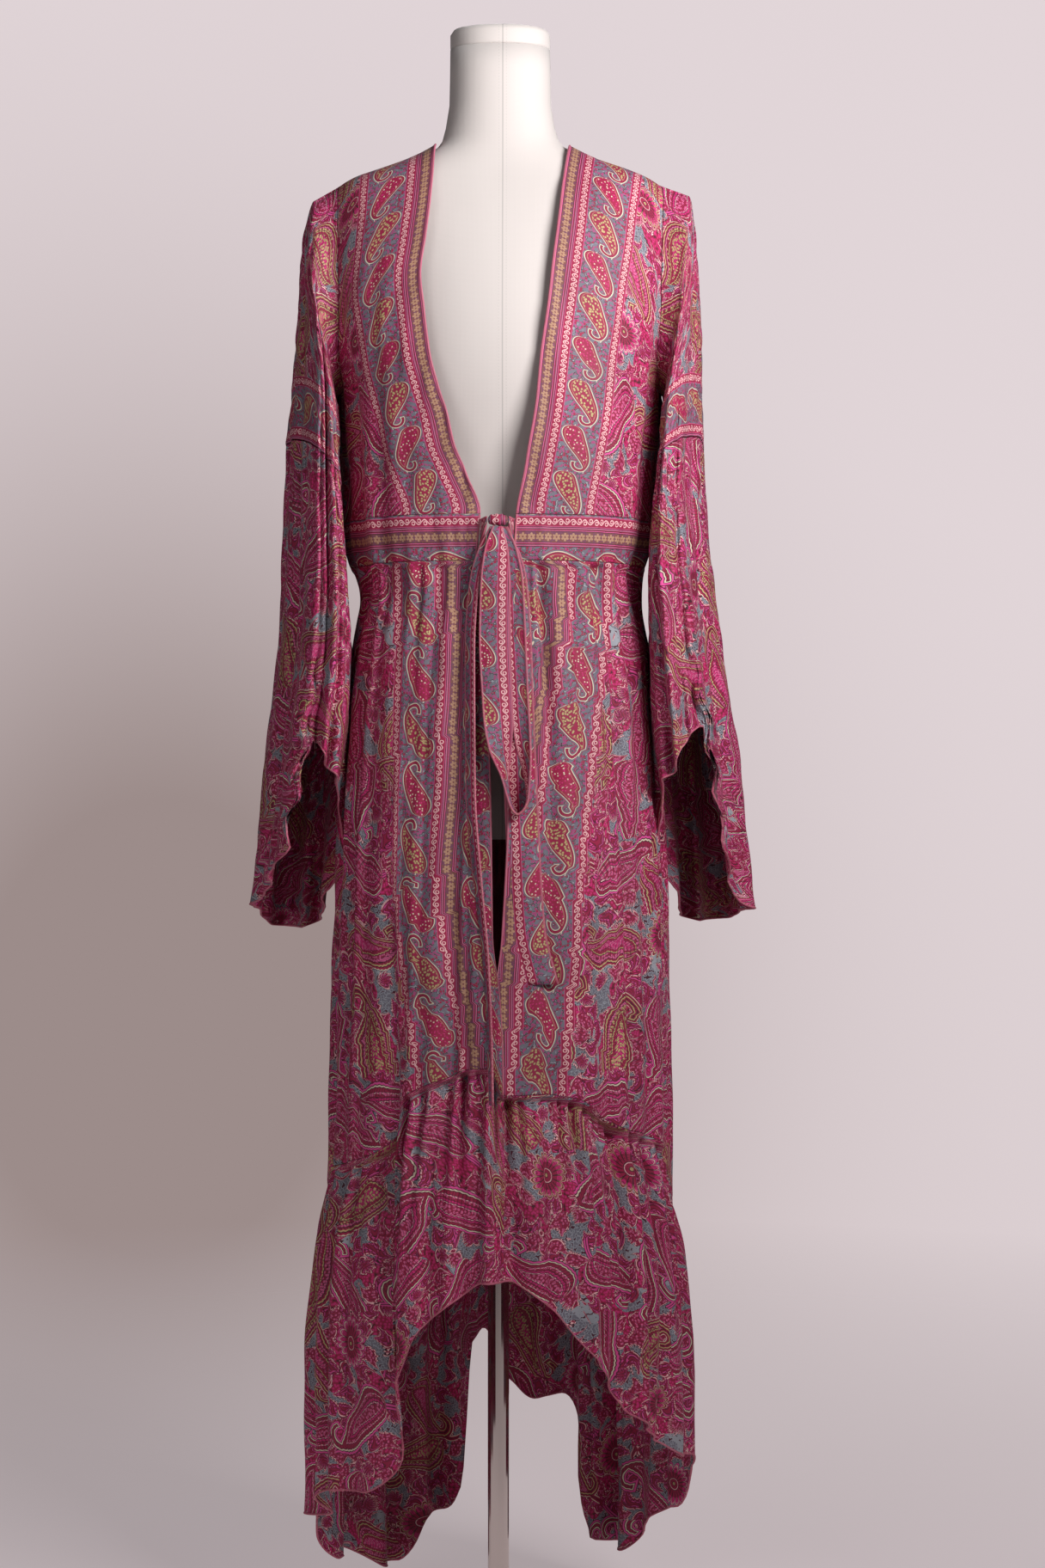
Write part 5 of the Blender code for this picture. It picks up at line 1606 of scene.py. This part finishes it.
def knot():
    """The knot: a small wrap of cloth with the creases of its turns."""
    x, height = KNOT_PLACE
    wide, deep, tall = KNOT_SIZE
    y = -(float(front_depth(x, height)) + KNOT_OUT)
    share = np.sin(np.linspace(-0.49, 0.49, KNOT_RINGS) * np.pi)[:, None]
    turn = np.linspace(0, 2 * np.pi, KNOT_SIDES + 1)[None, :-1]
    crease = KNOT_CREASE * np.sin(KNOT_TURNS * share + KNOT_SLANT * np.sin(turn)) ** 4
    size = (1 - abs(share) ** KNOT_ROUNDNESS) ** (1 / KNOT_ROUNDNESS) * (1 - crease)
    points = np.stack([
        x + wide * share + 0 * turn,
        y + deep * size * np.cos(turn),
        height + tall * size * np.sin(turn),
    ], axis=-1)
    spots = np.arange(KNOT_RINGS * KNOT_SIDES).reshape(KNOT_RINGS, KNOT_SIDES)
    after = np.roll(spots, -1, axis=1)
    sides = np.stack([spots[:-1], after[:-1], after[1:], spots[1:]], axis=-1).reshape(-1, 4)
    mesh = bpy.data.meshes.new("tie_knot_cloth")
    mesh.from_pydata(points.reshape(-1, 3), [], [spots[0].tolist(), *sides.tolist(), spots[-1].tolist()])
    corners = np.array([mesh.vertices[loop.vertex_index].co for loop in mesh.loops])
    far = 0 * corners[:, 0] + FAR_AWAY
    add_map(mesh, "Cloth", (corners[:, 0], corners[:, 2]))
    add_map(mesh, "Border", (KNOT_BORDER + corners[:, 0] - x, corners[:, 2]))
    add_map(mesh, "Edges", (far, far))
    finished("tie_knot_cloth", mesh, ["tie_knot"], "printed_crepe")


def dress_stand():
    """The form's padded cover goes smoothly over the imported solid, and the stand is chrome."""
    for node in ("form_torso", "form_cap"):
        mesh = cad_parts[node].data.copy()
        shape = bmesh.new()
        shape.from_mesh(mesh)
        bmesh.ops.remove_doubles(shape, verts=shape.verts, dist=1e-5)
        shape.to_mesh(mesh)
        shape.free()
        mesh.materials.clear()
        finished(f"{node}_linen", mesh, [node], "form_linen")
        mesh.set_sharp_from_angle(angle=SHARP_EDGE)
    for node in ("stand_pole", "stand_base"):
        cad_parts[node].material_slots[0].material = FINISHES["chrome"]


def stage():
    """A pale floor that glows with painted light, brighter to the right, and fades into the pale studio
    around it.
    """
    turn = np.arange(FLOOR_SIDES) * 2 * np.pi / FLOOR_SIDES
    points = np.stack([FLOOR_REACH * np.cos(turn), FLOOR_REACH * np.sin(turn), 0 * turn], axis=-1)
    mesh = bpy.data.meshes.new("floor")
    mesh.from_pydata(points, [], [list(range(FLOOR_SIDES))])
    made, shader = new_material("floor")
    x, y, _ = parts(own_place())
    shown = ((span(x, y) - FLOOR_FADE) / (FLOOR_REACH - FLOOR_FADE) * -1 + 1).clipped()
    clear = add_node("ShaderNodeBsdfTransparent")
    surface = mixed(shown, output(clear), output(shader))
    feed(Value.tree.nodes["Material Output"].inputs["Surface"], surface)
    shader.inputs["Base Color"].default_value = linear(FLOOR)
    shader.inputs["Roughness"].default_value = 0.9
    # painted light: the floor glows in the backdrop's colour, more strongly to the right
    shader.inputs["Emission Color"].default_value = linear(BACKDROP_LIGHT)
    feed(shader.inputs["Emission Strength"], x * FLOOR_PAINTED_LIGHT_SLOPE + FLOOR_GLOW)
    mesh.materials.append(made)
    placed("floor", mesh)


def studio():
    """A pale surrounding, a soft key light from the upper right and a weak fill from the left."""
    world = bpy.data.worlds.new("studio")
    world.use_nodes = True
    Value.tree = world.node_tree
    x, y, z = parts(output(add_node("ShaderNodeTexCoord"), "Generated"))
    aside = (x - SHADOW_PLACE[0]) / SHADOW_REACH[0]
    above = (z - SHADOW_PLACE[1]) / SHADOW_REACH[1]
    ahead = ((y - AHEAD_START) / AHEAD_REACH).clipped()
    shadow = ((aside * aside + above * above) * -1).math("EXPONENT") * ahead
    fall = (z * FALL[1] + x * FALL[0] + FALL_START).math("MAXIMUM", 0) * ahead
    dark = shadow.math("ADD", fall, clamp=True)
    seen = Value.tree.nodes["Background"]
    feed(seen.inputs["Color"], over(dark, linear(BACKDROP_DARK), linear(BACKDROP_LIGHT)))
    soft = add_node("ShaderNodeBackground", {"Color": linear(BACKDROP_LIGHT), "Strength": AMBIENT})
    by_camera = output(add_node("ShaderNodeLightPath"), "Is Camera Ray")
    surface = mixed(by_camera, output(soft), output(seen))
    feed(Value.tree.nodes["World Output"].inputs["Surface"], surface)
    bpy.context.scene.world = world
    bpy.context.scene.view_settings.view_transform = "Standard"
    for name, place, size, power in LIGHTS:
        lamp = bpy.data.lights.new(name, "AREA")
        lamp.size = size
        lamp.energy = power
        item = placed(name, lamp)
        item.location = place
        aim = mathutils.Vector(LIGHT_TARGET - np.array(place))
        item.rotation_euler = aim.to_track_quat("-Z", "Y").to_euler()


def camera():
    """The camera that takes the photo's view."""
    lens = bpy.data.cameras.new("camera")
    lens.lens = LENS
    lens.sensor_width = 36.0
    item = placed("camera", lens)
    item.location = CAMERA_PLACE
    item.rotation_euler = (math.pi / 2, 0, 0)
    bpy.context.scene.camera = item


camera()
studio()
stage()
FINISHES = {"printed_crepe": printed_cloth(), "form_linen": linen(), "chrome": chrome()}
dress_stand()
for side in SIGNS:
    bodice_front(side)
bodice_back()
lower_robe()
sleeves()
knot()
ties()
